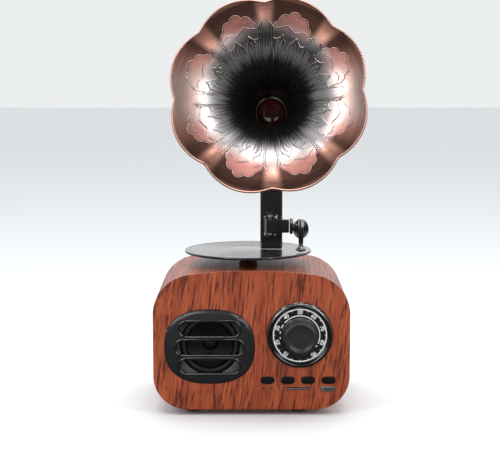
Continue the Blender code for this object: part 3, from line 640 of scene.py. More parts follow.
def make_looks():
    return {
        "wood": wood_look(),
        "satin": plastic("satin_black", (0.012, 0.013, 0.014), 0.30, 0.008, 0.6, 1.7),
        "gloss": plastic("gloss_black", (0.006, 0.006, 0.007), 0.16, 0.003, 1.0, 2.3),
        "lip": plastic("slot_lip_black", (0.007, 0.007, 0.008), 0.20, 0.003, 0.8, 1.75),
        "knob": plastic("knob_black", (0.016, 0.016, 0.017), 0.38, 0.006, 0.35, 1.6),
        "matte": plastic("matte_black", (0.006, 0.006, 0.006), 0.6, 0.03),
        "record": record_look(),
        "plate": plastic("dial_black", (0.010, 0.010, 0.011), 0.30, 0.004, 0.3),
        "white": flat_print("white_print", (0.95, 0.95, 0.94)),
        "copper": horn_look("antique_copper", "bell"),
        "relief": horn_look("raised_copper", "relief"),
        "ground": horn_look("ground_copper", "ground"),
        "groove": horn_look("dark_groove", "groove"),
        "rim": metal("rim_copper", (0.74, 0.43, 0.35), 0.32, (1, 1, 1)),
        "plug": plastic("throat_brown", (0.060, 0.006, 0.004), 0.10, 0.006, 0.0),
        "rubber": plastic("rubber", (0.014, 0.014, 0.014), 0.42, 0.05),
        "steel": metal("plated_steel", (0.66, 0.66, 0.67), 0.38),
        "cone": plastic("cone_paper", (0.005, 0.005, 0.005), 0.6, 0.08),
        "magnet": metal("dark_plating", (0.16, 0.16, 0.17), 0.45),
        "board": plastic("solder_mask", (0.012, 0.10, 0.04), 0.35, 0.01, 0.3),
        "cell": plastic("cell_wrap", (0.03, 0.16, 0.34), 0.30, 0.01, 0.4),
        "wire": plastic("wire_red", (0.42, 0.02, 0.02), 0.4, 0.01),
        "lens": plastic("led_lens", (0.30, 0.03, 0.02), 0.15, 0.004, 0.5),
    }


LOOKS = make_looks()


# ---------------------------------------------------------------- cabinet


def grain_map(obj):
    """Lays out the wood film: straight up the front, and front to back round the wrapped sides and top."""
    mesh = obj.data
    layer = mesh.uv_layers.new(name="grain")
    heart = (BASE_Z + TOP_Z) / 2 * MM
    around = 0.06
    for face in mesh.polygons:
        flat = abs(face.normal.z) > 0.75
        seam = face.center.x < 0
        for index in face.loop_indices:
            x, y, z = mesh.vertices[mesh.loops[index].vertex_index].co
            turn = atan2(x, y - heart)
            if seam and turn > 2:
                turn -= 2 * pi
            layer.data[index].uv = (x, y) if flat else (around * turn + 0.7, -0.35 * z)


def cabinet():
    """The shell, wrapped in wood film, with its holes cut through the front."""

    def local(node):
        spot = middle(node)
        return spot.x - CENTRE_X, spot.z

    def size(node):
        low, high = corners(node)
        return high.x - low.x, high.z - low.z

    shell = rounded(outline_solid("cabinet", [cabinet_outline()], -DEPTH, 0), EDGE_ROUND, 5)
    shell = cut(shell, outline_solid("cavity", [cabinet_outline(WALL)], -DEPTH - 5, -WALL))
    grille_w, grille_h = (side - 2 * FLANGE + HOLE_GAP for side in size("speaker_grille"))
    bezel_w = size("dial_plate")[0] + 6.6
    holes = [
        squircle(*local("speaker_grille"), grille_w, grille_h, GRILLE_POWER),
        circle(*local("dial_plate"), bezel_w / 2, 96),
        circle(*local("status_led"), 0.75, 20),
        circle(*local("microphone"), 0.6, 20),
        rectangle(*local("card_socket"), 13.6, 1.7, 0.25),
        micro_usb(*local("usb_socket"), 8.1, 3.0),
    ]
    for name in BUTTONS:
        holes.append(pill(*local(name), *(side - FLANGE + HOLE_GAP for side in size(name))))
    shell = cut(shell, outline_solid("holes", holes, -WALL - 3, 3))
    shell = rounded(shell, 0.22, 2, 60)
    bolt = moved(cylinder("hole", 2.2, -5, 5, 32), turn=Matrix.Rotation(pi / 2, 3, "X"))
    centre = middle("pedestal")
    bolt = moved(bolt, centre.x - CENTRE_X, TOP_Z, -(centre.y - FRONT_Y))
    shell = cut(shell, bolt)
    grain_map(shell)
    put(shell, (CENTRE_X, FRONT_Y, 0), FACING_FRONT, "cabinet", "wood", ["cabinet_shell"], 38)
    even_shading(shell)


def rear_cover():
    """A flat panel with a sunk seat for each of its four screws."""
    low, high = corners("rear_cover")
    holes = []
    screws = [f"cover_screw_{i}" for i in range(1, 5)]
    for name in screws:
        spot = middle(name)
        holes.append(circle(spot.x - CENTRE_X, spot.z, 2.4, 32))
    cover = outline_solid("rear_panel", [cabinet_outline(WALL + 0.3)], low.y - high.y, 0)
    cover = rounded(cover, 0.4, 3)
    cover = cut(cover, outline_solid("seats", [[(-x, y) for x, y in h][::-1] for h in holes], -1.5, 2))
    put(cover, (CENTRE_X, high.y, 0), TO_THE_BACK, "cabinet", "satin", ["rear_cover"])
    even_shading(cover)
    for name in screws:
        spot = middle(name)
        screw_head(name, (spot.x, corners(name)[1].y - 1.1, spot.z), FACING_BACK, 2.0, 1.1, "cabinet")


def screw_head(node, place, turn, radius, height, body, shank=0.95, length=2.0):
    """A pan head with a cross recess on a short shank, in place of a plain CAD screw."""
    dome = arc((0, height - radius * 1.6), radius * 1.6, 90, 90 - degrees(0.66), 10)
    dome = [(x, y) for x, y in dome if x < radius - 0.1]
    side = softened([dome[-1], (radius, height * 0.45), (radius, 0), (shank, 0)], 0.2)[1:]
    head = turned(node + "_head", [*dome, *side, (shank, -length), (0, -length)], 40)
    for turned_by in (0, pi / 2):
        slot = block("slot", (-radius * 0.62, -0.22, height - 0.55), (radius * 0.62, 0.22, height + 1))
        head = cut(head, moved(slot, turn=Matrix.Rotation(turned_by + 0.4, 3, "Z")))
    put(head, place, turn, body, "steel", [node])


def feet():
    profile = softened([(0, 3.0), (4.9, 3.0), (5.3, 0.8), (4.7, 0.0), (0, 0)], 0.4)
    for row in ("front", "rear"):
        for side in ("left", "right"):
            node = f"foot_{row}_{side}"
            spot = middle(node)
            put(turned(f"{node}_pad", profile, 64), (spot.x, spot.y, 0), UPRIGHT, "cabinet", "rubber", [node])


# ---------------------------------------------------------------- loudspeaker


def grille():
    """A softly crowned plate with three round-ended slots."""
    low, high = corners("speaker_grille")
    back = 4.0
    width, height = high.x - low.x - 2 * FLANGE, high.z - low.z - 2 * FLANGE
    x, z = (low.x + high.x) / 2, (low.z + high.z) / 2
    bm = bmesh.new()
    rings, around = 10, 128
    loops = []
    for i in range(1, rings + 1):
        share = i / rings
        rise = GRILLE_PROUD - GRILLE_CROWN * share**3
        ring = squircle(0, 0, width * share, height * share, 2 + (GRILLE_POWER - 2) * share, around)
        loops.append([bm.verts.new((px * MM, py * MM, rise * MM)) for px, py in ring])
    ring = squircle(0, 0, width, height, GRILLE_POWER, around)
    loops.append([bm.verts.new((px * MM, py * MM, -back * MM)) for px, py in ring])
    bm.faces.new(loops[0])
    for a, b in zip(loops, loops[1:]):
        for i in range(around):
            j = (i + 1) % around
            bm.faces.new((a[j], a[i], b[i], b[j]))
    bm.faces.new(loops[-1][::-1])
    bmesh.ops.recalc_face_normals(bm, faces=bm.faces)
    plate = as_object("grille_plate", mesh_from(bm, "grille_plate"))
    middle_y = -SLOT_DROP
    rows = (middle_y + SLOT_PITCH, middle_y, middle_y - SLOT_PITCH)
    slots = [pill(0, y, w, SLOT_H, 24) for y, w in zip(rows, SLOT_WIDTHS)]
    plate = cut(plate, outline_solid("slots", slots, -back - 2, 5))
    plate = rounded(plate, 0.55, 4, 50)
    put(plate, (x, FRONT_Y, z), FACING_FRONT, "cabinet", "satin", ["speaker_grille"], 45)

    def crown(px, py):
        share = (abs(2 * px / width) ** 2.3 + abs(2 * py / height) ** 2.3) ** (1 / 2.3)
        return GRILLE_PROUD - GRILLE_CROWN * share**3

    paths = []
    for y, w in zip(rows, SLOT_WIDTHS):
        outline = pill(0, y, w + LIP_RADIUS, SLOT_H + LIP_RADIUS, 24)
        paths.append(([(px, py, crown(px, py) - 0.52) for px, py in outline], True))
    lips = tubes("slot_lips", paths, LIP_RADIUS, 5)
    put(lips, (x, FRONT_Y, z), FACING_FRONT, "cabinet", "lip", (), 60)


def loudspeaker():
    """What shows through the slots: the frame, a rolled surround, the cone and its dust cap."""
    spot = middle("speaker_frame")
    front = -(corners("speaker_frame")[0].y - FRONT_Y)
    rim = front - 1.5

    def add(obj, look, *nodes):
        put(obj, (spot.x, FRONT_Y, spot.z), FACING_FRONT, "cabinet", look, nodes)

    frame_loops = [rectangle(0, 0, 40, 40, 6, 8), circle(0, 0, 16.4, 96)]
    frame_solid = outline_solid("driver_frame", frame_loops, front - 1.2, front)
    add(rounded(frame_solid, 0.25, 2), "magnet", "speaker_frame")
    roll = arc((14.4, rim), 1.7, 0, 180, 16)[::-1] + arc((14.4, rim), 1.3, 180, 0, 12)[::-1]
    add(turned("driver_surround", roll, 96, closed=True), "rubber", "speaker_surround")
    ribs = [(12.3 - 7.7 * t, rim - 0.5 - 5.2 * t + 0.12 * sin(t * 40)) for t in (i / 40 for i in range(41))]
    cone = [(12.3, rim), *ribs, (4.6, rim - 9.6), (4.1, rim - 9.6), (4.1, rim - 5.2)]
    add(turned("driver_cone", cone, 96, closed=True), "cone", "speaker_cone")
    cap = [(3.7 * sin(a), rim - 5.0 + 2.2 * cos(a)) for a in (pi / 2 * i / 12 for i in range(13))]
    add(turned("driver_cap", [*cap, (0, rim - 5.0)], 64), "cone", "dust_cap")


# ---------------------------------------------------------------- dial, knob and buttons


def ring(name, radius, width, rise, start=0, end=360, steps=160):
    """A thin flat printed band between two angles."""
    full = end - start >= 360
    outer = arc((0, 0), radius + width / 2, start, end, steps)
    inner = arc((0, 0), radius - width / 2, start, end, steps)
    loops = [outer[:-1], inner[:-1]] if full else [outer + inner[::-1]]
    return outline_solid(name, loops, rise - 0.1, rise)


def dial():
    spot = middle("dial_plate")
    place = (spot.x, FRONT_Y, spot.z)
    plate_radius = (corners("dial_plate")[1].x - corners("dial_plate")[0].x) / 2
    inner = plate_radius + 0.3

    def add(obj, look, *nodes, smooth=35):
        put(obj, place, FACING_FRONT, "cabinet", look, nodes, smooth)

    outside = [(19.4, -4.2), (12.0, -4.2), (12.0, -3.0), (inner, -3.0), (inner, 0.9), (inner + 0.6, 1.1)]
    roll = arc((16.35, 0.6), 1.35, 150, -30, 20)
    bezel = [*roll, (17.7, -0.2), (17.7, -2.8), (19.4, -2.8), *outside]
    add(turned("dial_ring", bezel, 160, closed=True), "gloss", "dial_bezel")
    plate = [(plate_radius, 0.4), (plate_radius, -2.7), (4.6, -2.7), (4.6, 0.4)]
    add(turned("dial_face", plate, 160, closed=True), "plate", "dial_plate")
    top = 0.46
    add(ring("scale_ring", RING_RADIUS, 0.60, top), "white")
    add(ring("scale_arc", ARC_RADIUS, 0.50, top, -25, 140), "white")
    for number, (start, end) in enumerate(((147, 158), (168, 175), (185, 190), (-36, -31)), 1):
        add(ring(f"scale_dash_{number}", ARC_RADIUS, 0.50, top, start, end, 12), "white")
    mark = rectangle(RING_RADIUS - 0.5, 0, 0.7, 0.50, 0.05)
    for step in range(20):
        tick = outline_solid(f"scale_tick_{step + 1}", [mark], top - 0.1, top)
        add(moved(tick, turn=Matrix.Rotation(radians(18 * step), 3, "Z")), "white")
    for step in range(9):
        number_piece(str(10 * (step + 1)), 234 - 36 * step, top, add)


def number_piece(text, angle, top, add):
    """One printed number, its top pointing away from the dial's centre."""
    font = bpy.data.curves.new("number_" + text, "FONT")
    font.body = text
    font.align_x = "CENTER"
    font.align_y = "CENTER"
    font.size = NUMBER_HEIGHT * 1.36 * MM
    font.extrude = 0.04 * MM
    font.offset = 0.035 * MM
    font.resolution_u = 4
    obj = applied(as_object("number_" + text, font))
    turn = Matrix.Rotation(radians(angle - 90), 3, "Z")
    spot = turn @ Vector((0, NUMBER_RADIUS, 0))
    moved(obj, spot.x, spot.y, top - 0.04, turn)
    add(obj, "white", smooth=0)


def knob():
    spot, _ = joint("volume_turn")
    top = KNOB_HEIGHT
    face = [(0, top - 0.55), (5.5, top - 0.5), (7.3, top), (8.35, top - 0.1)]
    profile = softened([*face, (KNOB_RADIUS, 3.4), (9.4, 2.7)], 1.2, 6)
    hollow = [(7.3, 1.0), (7.3, 4.5), (3.2, 4.5), (3.2, top - 2), (0, top - 2)]
    body = turned("knob_cap", [*profile, (KNOB_SKIRT, 2.4), (KNOB_SKIRT, 1.0), *hollow], 128)
    put(body, spot, FACING_FRONT, "volume_knob", "knob", ["volume_knob"])
    for step in range(40):
        rib = block(f"knob_rib_{step + 1}", (8.75, -0.16, 2.35), (9.75, 0.16, 2.85))
        rib = moved(rib, turn=Matrix.Rotation(radians(9 * step), 3, "Z"))
        put(rib, spot, FACING_FRONT, "volume_knob", "satin")


def buttons():
    for name in BUTTONS:
        low, high = corners(name)
        width, height = high.x - low.x - FLANGE, high.z - low.z - FLANGE
        cap = outline_solid(name + "_cap", [pill(0, 0, width, height)], -3.8, 0.7)
        flange = outline_solid("flange", [pill(0, 0, width + FLANGE, height + FLANGE)], -4.0, -2.8)
        cap = rounded(join(cap, flange), 0.62, 5, 50)
        spot = middle(name)
        put(cap, (spot.x, FRONT_Y, spot.z), FACING_FRONT, name, "gloss", [name])


def ports():
    spot = middle("usb_socket")
    usb = outline_solid("usb_shell", [micro_usb(0, 0, 7.6, 2.5), micro_usb(0, 0, 6.8, 1.7)], -6.6, -0.15)
    usb = rounded(usb, 0.14, 2, 60)
    usb = join(usb, outline_solid("back", [micro_usb(0, 0, 7.2, 2.1)], -6.6, -5.9))
    usb = join(usb, outline_solid("tongue", [rectangle(0, 0.35, 5.2, 0.5, 0.1)], -6.3, -1.6))
    put(usb, (spot.x, FRONT_Y, spot.z), FACING_FRONT, "cabinet", "steel", ["usb_socket"], 30)
    low, high = corners("status_led")
    spot = middle("status_led")
    radius = (high.x - low.x) / 2
    lens = softened([(0, 0.1), (radius * 0.7, 0.05), (radius, -0.2), (radius, -5.4), (0, -5.4)], 0.15)
    led = turned("led_lens", lens, 32)
    put(led, (spot.x, FRONT_Y, spot.z), FACING_FRONT, "cabinet", "lens", ["status_led"])


# ---------------------------------------------------------------- turntable and post


def record():
    """The disc: a plain centre, fine grooves and a raised edge."""
    low, high = corners("record_disc")
    spot = middle("record_disc")
    radius = (high.x - low.x) / 2
    top, base = high.z, low.z
    grooves = []
    r = 11.0
    while r < radius - 1.8:
        depth = 0.05 if int(r * 10) % 60 > 8 else 0.0
        grooves += [(r, top - 0.08), (r + 0.30, top - 0.08 - depth)]
        r += 0.6
    rim = [(radius - 1.4, top - 0.08), (radius - 1.1, top), (radius - 0.3, top), (radius, top - 0.4)]
    edge = softened([*rim, (radius, base + 0.3), (radius - 0.4, base), (0, base)], 0.2)
    disc = turned("record", [(0, top - 0.05), (10.6, top - 0.05), *grooves, *edge], 192)
    put(disc, (spot.x, spot.y, 0), UPRIGHT, "turntable", "record", ["record_disc"], 60)
    low, high = corners("pedestal")
    spot = middle("pedestal")
    radius = (high.x - low.x) / 2
    column = softened([(0, high.z), (radius, high.z), (radius, low.z), (2.1, low.z)], 0.25)
    column = turned("column", [*column, (2.1, high.z - 0.7), (0, high.z - 0.7)], 96)
    put(column, (spot.x, spot.y, 0), UPRIGHT, "turntable", "matte", ["pedestal"])


def post():
    low, high = corners("horn_post")
    bar = rounded(block("post_bar", low, high), 0.8, 4)
    finish_piece(bar, "turntable", "gloss", ["horn_post"])
    even_shading(bar)
    for name in ("post_screw_1", "post_screw_2"):
        spot = middle(name)
        at = (spot.x, spot.y, corners(name)[0].z + 1.1)
        screw_head(name, at, UPSIDE_DOWN, 2.0, 1.1, "turntable", length=1.6)
    spot = middle("socket_screw")
    at = (spot.x, corners("socket_screw")[1].y - 1.5, spot.z)
    screw_head("socket_screw", at, FACING_BACK, 2.6, 1.5, "turntable", 1.25)


def bracket():
    """A plate on the post with two ears round the tonearm's pin, which has a round cap."""
    pivot, _ = joint("tonearm_swing")
    low, high = corners("tonearm_bracket")
    low, high = low - pivot, high - pivot
    ear = 1.2
    part = rounded(block("arm_bracket", (low.x, high.y - 1.5, low.z), (high.x, high.y, high.z)), 0.35, 3)
    for base in (low.z, high.z - ear):
        outline = arc((0, 0), 3.3, 180, 360, 32) + [(3.3, high.y - 0.7), (-3.3, high.y - 0.7)]
        lug = rounded(outline_solid("ear", [outline, circle(0, 0, 1.2, 40)], base, base + ear), 0.25, 3)
        part = join(part, lug)
    put(part, pivot, UPRIGHT, "turntable", "gloss", ["tonearm_bracket"])
    reach = high.z + 0.5
    cap = softened([(0, reach), (1.6, reach), (1.6, high.z + 0.3), (0.9, high.z + 0.3)], 0.25)
    pin = turned("hinge_pin", [*cap, (0.9, low.z), (0, low.z)], 48)
    put(pin, pivot, UPRIGHT, "turntable", "steel", ["tonearm_pin"])


def tonearm():
    pivot, _ = joint("tonearm_swing")

    def add(obj, node, turn=UPRIGHT, offset=(0, 0, 0)):
        put(obj, pivot + Vector(offset), turn, "tonearm", "gloss", [node])

    low, high = corners("tonearm_bar")
    length, half = high.x - pivot.x, (high.z - low.z) / 2 - 0.1
    bar = rounded(block("arm_bar", (0, -2.1, -half), (length, 2.1, half)), 0.7, 4)
    sleeve = softened([(1.2, half), (2.9, half + 0.1), (2.9, -half - 0.1), (1.2, -half)], 0.3)
    barrel = turned("barrel", sleeve, 64, closed=True)
    bar = join(cut(bar, cylinder("bore", 2.0, -8, 8, 48)), barrel)
    add(even_shading(bar), "tonearm_bar")

    low, high = corners("arm_collar")
    start, end = low.x - pivot.x, high.x - pivot.x
    collar = rounded(block("arm_plate", (start, -2.9, -half - 0.5), (start + 1.8, 2.9, half + 0.5)), 0.55, 4)
    base = start + 1.0
    elbow = softened([(1.2, end), (1.8, end - 0.4), (1.8, end - 1.6), (2.3, start + 2.2), (2.3, base)], 0.5)
    elbow = turned("elbow", [(0, end), *elbow, (0, base)], 48)
    elbow = moved(elbow, turn=Matrix.Rotation(pi / 2, 3, "Y"))
    add(join(collar, elbow), "arm_collar")

    spot = middle("soundbox") - pivot
    profile = [
        (0, 1.1), (1.0, 1.1), (1.3, 0.7), (2.9, 0.7), (3.2, 1.2), (3.6, 1.2), (3.9, 0.9), (4.3, 1.4),
        (5.0, 1.5), (5.5, 1.0), (5.5, -0.8), (4.7, -1.5), (0, -1.5),
    ]
    shape = turned("soundbox_disc", softened(profile, 0.25), 96)
    shape.data.transform(Matrix.Diagonal((0.8, 1.0, 1.0, 1.0)))
    add(shape, "soundbox", FACING_FRONT, spot)

    low, high = corners("needle_lever")
    x, y = (low.x + high.x) / 2 - pivot.x, (low.y + high.y) / 2 - pivot.y
    top, foot = high.z - pivot.z, low.z - pivot.z
    neck = foot + 4.4
    side = [(1.9, top), (1.5, top - 6.9), (1.2, neck - 0.5)]
    lever = rounded(outline_solid("lever", [[(-a, b) for a, b in side] + side[::-1]], -0.9, 0.9), 0.45, 4)
    stylus = [
        (0, neck + 0.3), (1.4, neck), (1.1, neck - 1.1), (1.9, foot + 2.3), (2.9, foot + 1.7),
        (2.9, foot + 0.8), (1.2, foot), (0, foot),
    ]
    stylus = moved(turned("stylus", softened(stylus, 0.4), 64), turn=Matrix.Rotation(-pi / 2, 3, "X"))
    add(join(lever, stylus), "needle_lever", FACING_FRONT, (x, y, 0))


# ---------------------------------------------------------------- horn


HORN_PLACE, HORN_AXIS = joint("horn_turn")
HORN_SIDE = Vector((0, 0, 1)).cross(HORN_AXIS).normalized()
HORN_TURN = Matrix((HORN_SIDE, HORN_AXIS.cross(HORN_SIDE), HORN_AXIS)).transposed()


def on_horn(obj, body, look, replaces=(), smooth=35):
    put(obj, HORN_PLACE, HORN_TURN, body, look, replaces, smooth)


def petal_angle(lobe):
    return radians(HORN_ROLL + 180 / LOBES + 360 / LOBES * lobe)


def bell_point(share, angle):
    """A point on the bell's inner surface. share runs from 0 at the throat to 1 at the rim."""
    flare = share**2.1
    soft = 0.012
    top = (1 + soft) ** 0.4 - soft**0.4
    wave = (sin(LOBES / 2 * (angle - radians(HORN_ROLL))) ** 2 + soft) ** 0.4 - soft**0.4
    crease = (1 - VALLEY_RADIUS / LOBE_RADIUS) * flare**1.1
    radius = (THROAT_RADIUS + (LOBE_RADIUS - THROAT_RADIUS) * flare) * (1 - crease * (1 - wave / top))
    height = THROAT_AT + (MOUTH_AT - THROAT_AT) * (1 - (1 - share) ** 1.6)
    return Vector((radius * cos(angle), radius * sin(angle), height))


def bell_surface(radius, angle, lift):
    """A point above the inner surface at a distance from the horn's axis, for what is raised on it."""
    low, high = 0.0, 1.0
    for _ in range(24):
        half = (low + high) / 2
        if bell_point(half, angle).xy.length < radius:
            low = half
        else:
            high = half
    here = bell_point(low, angle)
    along = bell_point(min(1, low + 0.004), angle) - bell_point(low - 0.004 if low > 0.004 else 0, angle)
    across = bell_point(low, angle + 0.004) - bell_point(low, angle - 0.004)
    normal = across.cross(along).normalized()
    if normal.dot(Vector((-cos(angle), -sin(angle), 0.3))) < 0:
        normal.negate()
    return here + normal * lift


def bell():
    rings, around = 72, LOBES * 36
    bm = bmesh.new()
    loops = []
    for i in range(rings + 1):
        share = i / rings
        loops.append([bm.verts.new(bell_point(share, 2 * pi * k / around) * MM) for k in range(around)])
    for a, b in zip(loops, loops[1:]):
        for i in range(around):
            j = (i + 1) % around
            bm.faces.new((a[i], a[j], b[j], b[i]))
    bm.normal_update()
    bm.faces.ensure_lookup_table()
    face = bm.faces[len(bm.faces) // 2]
    outward = face.calc_center_median().xy.dot(face.normal.xy) > 0
    bmesh.ops.reverse_faces(bm, faces=[] if outward else bm.faces)
    obj = as_object("flower_bell", mesh_from(bm, "flower_bell"))
    wall = obj.modifiers.new("thickness", "SOLIDIFY")
    wall.thickness = HORN_THICK * MM
    wall.offset = 1
    wall.use_even_offset = True
    obj = applied(obj)
    on_horn(obj, "horn", "copper", ["horn_bell"], 50)

    path = []
    steps = LOBES * 48
    for k in range(steps):
        angle = 2 * pi * k / steps
        p = bell_point(1.0, angle)
        path.append(p + Vector((cos(angle), sin(angle), 0)) * 0.40 + Vector((0, 0, -0.12)))
    on_horn(tubes("flower_rim", [(path, True)], 0.55, 3), "horn", "rim", (), 60)


CROWN_LOBES = ((-7.2, 37.6, 2.7), (-4.2, 40.4, 3.1), (0.9, 41.7, 3.4), (5.6, 39.9, 2.9), (7.9, 37.2, 2.2))


def crown_edge(steps=96):
    """The scalloped top of an ornament: the outer edge of a row of round lobes, seen from a point below."""
    x0, y0 = 0.0, 35.0
    edge = []
    for k in range(steps + 1):
        a = radians(2 + 176 * k / steps)
        reach = 0.0
        for x, y, r in CROWN_LOBES:
            along = (x - x0) * cos(a) + (y - y0) * sin(a)
            aside = (x - x0) * sin(a) - (y - y0) * cos(a)
            if abs(aside) < r:
                reach = max(reach, along + sqrt(r**2 - aside**2))
        edge.append((x0 + reach * cos(a), y0 + reach * sin(a)))
    return edge


PETAL_EDGE = (
    (9.4, 35.3), (9.3, 33.6), (8.7, 31.6), (7.0, 30.9), (4.8, 31.9), (4.0, 33.2), (3.0, 31.2), (1.6, 29.6),
    (0.3, 27.0), (-0.7, 29.4), (-2.2, 31.6), (-3.6, 33.4), (-4.9, 31.8), (-6.8, 30.9), (-8.6, 31.8),
    (-9.5, 34.0), (-9.3, 35.6),
)
WAVY_BAND = (
    (-9.0, 36.2), (-6.6, 37.4), (-4.2, 36.9), (-1.9, 35.6), (0.9, 36.8), (3.6, 37.7), (6.4, 36.5),
    (9.0, 36.0),
)
PATCH_STEP = 1.9


def flat_curve(points, per_span=6):
    return [(p.x, p.y) for p in smooth_path([(*p, 0) for p in points], per_span)]


def motif_lines():
    """The raised lines of one petal's ornament, as paths of (across, out): a scalloped crown over a wavy
    band, round petals with a pointed drop between them, leaf tips at the sides, and stems that run together
    towards the throat."""
    lines = [crown_edge(), flat_curve(PETAL_EDGE), flat_curve(WAVY_BAND)]
    for x, y, r in CROWN_LOBES[:4]:
        for aside in (-0.42, 0.0, 0.42):
            bx, by = x + aside * r, y - 0.55
            lines.append([(bx, by), (bx + 0.10 * x * 0.2, by + 0.55), (bx + 0.12 * x * 0.4, by + 1.15)])
    for side in (-1, 1):
        leaf = [(9.0, 33.6), (9.9, 35.8), (11.3, 37.4), (12.7, 38.6), (11.6, 36.4), (10.6, 34.4), (9.9, 32.6)]
        stem_outer = [(9.9, 32.6), (8.6, 28.4), (6.9, 23.6), (5.3, 18.6), (4.4, 14.2), (3.5, 11.6)]
        stem_inner = [(8.6, 31.4), (7.5, 27.8), (5.9, 23.0), (4.4, 18.2), (3.2, 13.6)]
        blade = [(5.9, 30.6), (6.3, 28.2), (5.0, 24.6), (3.3, 21.0), (1.6, 18.2), (0.7, 14.4)]
        sepal = [(3.4, 30.4), (4.2, 27.6), (3.4, 24.6), (1.9, 21.8), (0.5, 19.6)]
        vein = [(1.9, 28.6), (2.4, 25.8), (1.5, 23.2), (0.4, 21.0)]
        for points in (leaf, stem_outer, stem_inner, blade, sepal, vein):
            lines.append(flat_curve([(side * x, y) for x, y in points]))
    return lines


def on_bell(x, y, lobe, flip, lift):
    """A point of the ornament laid on its petal of the bell."""
    return bell_surface(y, petal_angle(lobe) + flip * x / max(y, 17.0), lift)


# What runs along the ornament's lines: its name, shift right and down, lift off the bell, radius and look
ORNAMENT_STRANDS = (("grooves", 0.26, 0.24, -0.02, 0.24, "groove"), ("lines", 0.0, 0.0, 0.17, 0.20, "relief"))


def ornaments():
    lines, fill = motif_lines(), crown_edge(60) + flat_curve(PETAL_EDGE, 4)[::-1]
    for lobe in range(LOBES):
        flip = 1 if cos(petal_angle(lobe)) > 0 else -1
        for name, right, down, lift, radius, look in ORNAMENT_STRANDS:
            paths = [
                ([on_bell(x + right, y - down, lobe, flip, lift) for x, y in line], False) for line in lines
            ]
            strands = tubes(f"ornament_{name}_{lobe + 1}", paths, radius, 1, thin_at=33.0)
            on_horn(strands, "horn", look, (), 80)
        petal_patch(fill, lobe, flip)


def petal_patch(outline, lobe, flip):
    """The ornament's low raised ground: a flat outline cut into small faces, then laid on the bell."""
    patch = outline_solid(f"ornament_ground_{lobe + 1}", [outline], -0.5, 0.5)
    bm = bmesh.new()
    bm.from_mesh(patch.data)
    for axis, low, high in (((1, 0, 0), -6, 7), ((0, 1, 0), 13, 24)):
        for k in range(low, high):
            geom = bm.verts[:] + bm.edges[:] + bm.faces[:]
            spot = [c * k * PATCH_STEP * MM for c in axis]
            bmesh.ops.bisect_plane(bm, geom=geom, plane_co=spot, plane_no=axis)
    for vert in bm.verts:
        lift = 0.10 if vert.co.z > 0 else -0.45
        vert.co = on_bell(vert.co.x / MM, vert.co.y / MM, lobe, flip, lift) * MM
    bmesh.ops.recalc_face_normals(bm, faces=bm.faces)
    bm.to_mesh(patch.data)
    bm.free()
    on_horn(patch, "horn", "ground", (), 50)


def horn_fittings():
    """The socket on the post, the turning neck and the plug in the throat."""
    socket = [(0, 1.6), (6.5, 1.6), (6.5, 6.0), (9.0, 6.0), (9.0, -5.0), (0, -5.0)]
    socket = turned("socket_cup", softened(socket, 0.4), 96)
    slab = block("slab", (-30, 0, -30), (30, 30, 30))
    slab.data.transform(HORN_TURN.to_4x4().inverted() @ Matrix.Translation((0, -0.3 * MM, 0)))
    on_horn(cut(socket, slab), "turntable", "gloss", ["horn_socket"])
    ferrule = [(9.8, 8.2), (9.8, 13.0), (10.9, 12.6), (10.9, 7.4), (10.2, 6.4), (6.2, 6.4), (6.2, 1.9)]
    neck = turned("neck_ring", [(0, 8.2), *softened(ferrule, 0.35), (0, 1.9)], 96)
    on_horn(neck, "horn", "gloss", ["horn_neck"])
    dome = [(7.9 * sin(a), 8.5 + 2.1 * cos(a)) for a in (pi / 2 * i / 16 for i in range(17))]
    on_horn(turned("throat_dome", [*dome, (0, 8.5)], 96), "horn", "plug", ["throat_plug"])


# ---------------------------------------------------------------- inner CAD pieces, stage, light and camera


INNER = {
    "magnet": ("speaker_basket", "speaker_magnet"),
    "steel": (
        "volume_encoder", "encoder_nut", "encoder_shaft", "board_screw_1", "board_screw_2", "card_socket",
        "microphone", "swivel_bolt",
    ),
    "board": ("main_board", "button_board"),
    "satin": ("tact_switch_1", "tact_switch_2", "tact_switch_3", "tact_switch_4", "battery_cradle"),
    "cell": ("battery_cell",),
    "wire": ("speaker_lead", "battery_lead"),
}


def inner_pieces():
    """CAD pieces that keep their own shape get the real materials."""
    for look, names in INNER.items():
        for name in names:
            obj = frame["nodes"][name]
            obj.data.materials.clear()
            obj.data.materials.append(LOOKS[look])


def stage():
    """A pale floor with a soft fade to the backdrop's colour."""
    bm = bmesh.new()
    bmesh.ops.create_grid(bm, x_segments=1, y_segments=1, size=6.0)
    floor = as_object("floor", mesh_from(bm, "floor"))
    look = Look("floor", (0.86, 0.87, 0.88), 0.55)
    look.set("Specular IOR Level", 0.15)
    floor.data.materials.append(look.material)
    floor.visible_glossy = False
    bpy.context.scene.view_settings.view_transform = "Standard"


def area_light(name, place, target, size, power):
    data = bpy.data.lights.new(name, "AREA")
    data.shape = "RECTANGLE"
    data.size, data.size_y = size
    data.energy = power
    obj = as_object(name, data)
    obj.location = place
    obj.rotation_euler = (Vector(target) - Vector(place)).to_track_quat("-Z", "Y").to_euler()


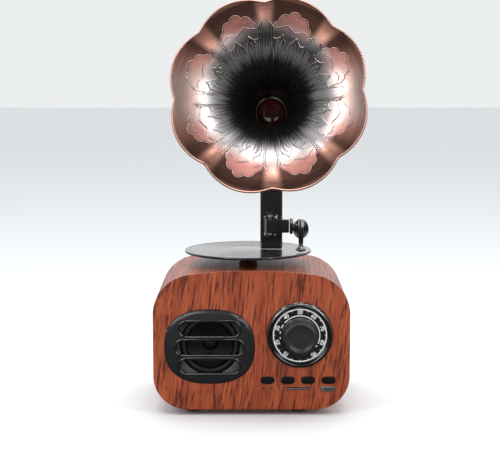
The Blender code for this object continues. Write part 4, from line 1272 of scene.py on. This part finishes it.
def world_light():
    """A bright room behind and above the object, darker behind the viewer. It shows as plain pale grey."""
    world = bpy.data.worlds.new("studio")
    bpy.context.scene.world = world
    world.use_nodes = True
    sky = Nodes(world.node_tree)
    _, depth, height = sky.parts(sky.place("Generated"))
    behind = sky.span(depth, -0.55, 0.35, 0.08, 1.0, smooth=True)
    room = sky.times(behind, sky.span(height, -0.30, 0.10, 0.12, 1.0, smooth=True))
    room = sky.plus(room, sky.span(height, 0.55, 0.95, 0.0, 0.6, smooth=True))
    shown = sky.node("LightPath").outputs["Is Camera Ray"]
    background = sky.nodes["Background"]
    background.inputs["Color"].default_value = (0.93, 0.95, 0.96, 1.0)
    sky.feed(background.inputs["Strength"], sky.node("Mix", {0: shown, 2: room, 3: 0.90}).outputs[0])


def lights():
    target = (0, -0.01, 0.12)
    area_light("left_strip", (-0.60, -0.66, 0.66), target, (0.12, 0.60), 2.3)
    area_light("right_strip", (0.62, -0.62, 0.66), target, (0.12, 0.60), 2.1)
    area_light("left_side", (-0.66, -0.74, 0.46), (0, -0.02, 0.16), (0.70, 0.36), 0.6)
    area_light("right_side", (0.68, -0.72, 0.46), (0, -0.02, 0.16), (0.70, 0.36), 0.6)
    area_light("left_near", (-0.27, -0.90, 0.19), (0, -0.02, 0.16), (0.40, 0.22), 0.60)
    area_light("right_near", (0.29, -0.90, 0.19), (0, -0.02, 0.16), (0.40, 0.22), 0.60)
    area_light("front_top", (0.0, -0.62, 0.95), target, (0.35, 0.12), 1.2)
    area_light("overhead", (0.0, -0.08, 1.25), target, (0.9, 0.6), 5.5)


def camera():
    data = bpy.data.cameras.new("camera")
    data.sensor_width = SENSOR_WIDTH
    data.lens = LENS
    obj = as_object("camera", data)
    obj.location = Vector((CENTRE_X - CAMERA_LEFT, FRONT_Y - CAMERA_AWAY, CAMERA_HEIGHT)) * MM
    obj.rotation_euler = (radians(90 - CAMERA_TILT), 0, 0)
    bpy.context.scene.camera = obj


def build():
    cabinet()
    rear_cover()
    feet()
    grille()
    loudspeaker()
    dial()
    knob()
    buttons()
    ports()
    record()
    post()
    bracket()
    tonearm()
    bell()
    ornaments()
    horn_fittings()
    inner_pieces()
    stage()
    world_light()
    lights()
    camera()


build()
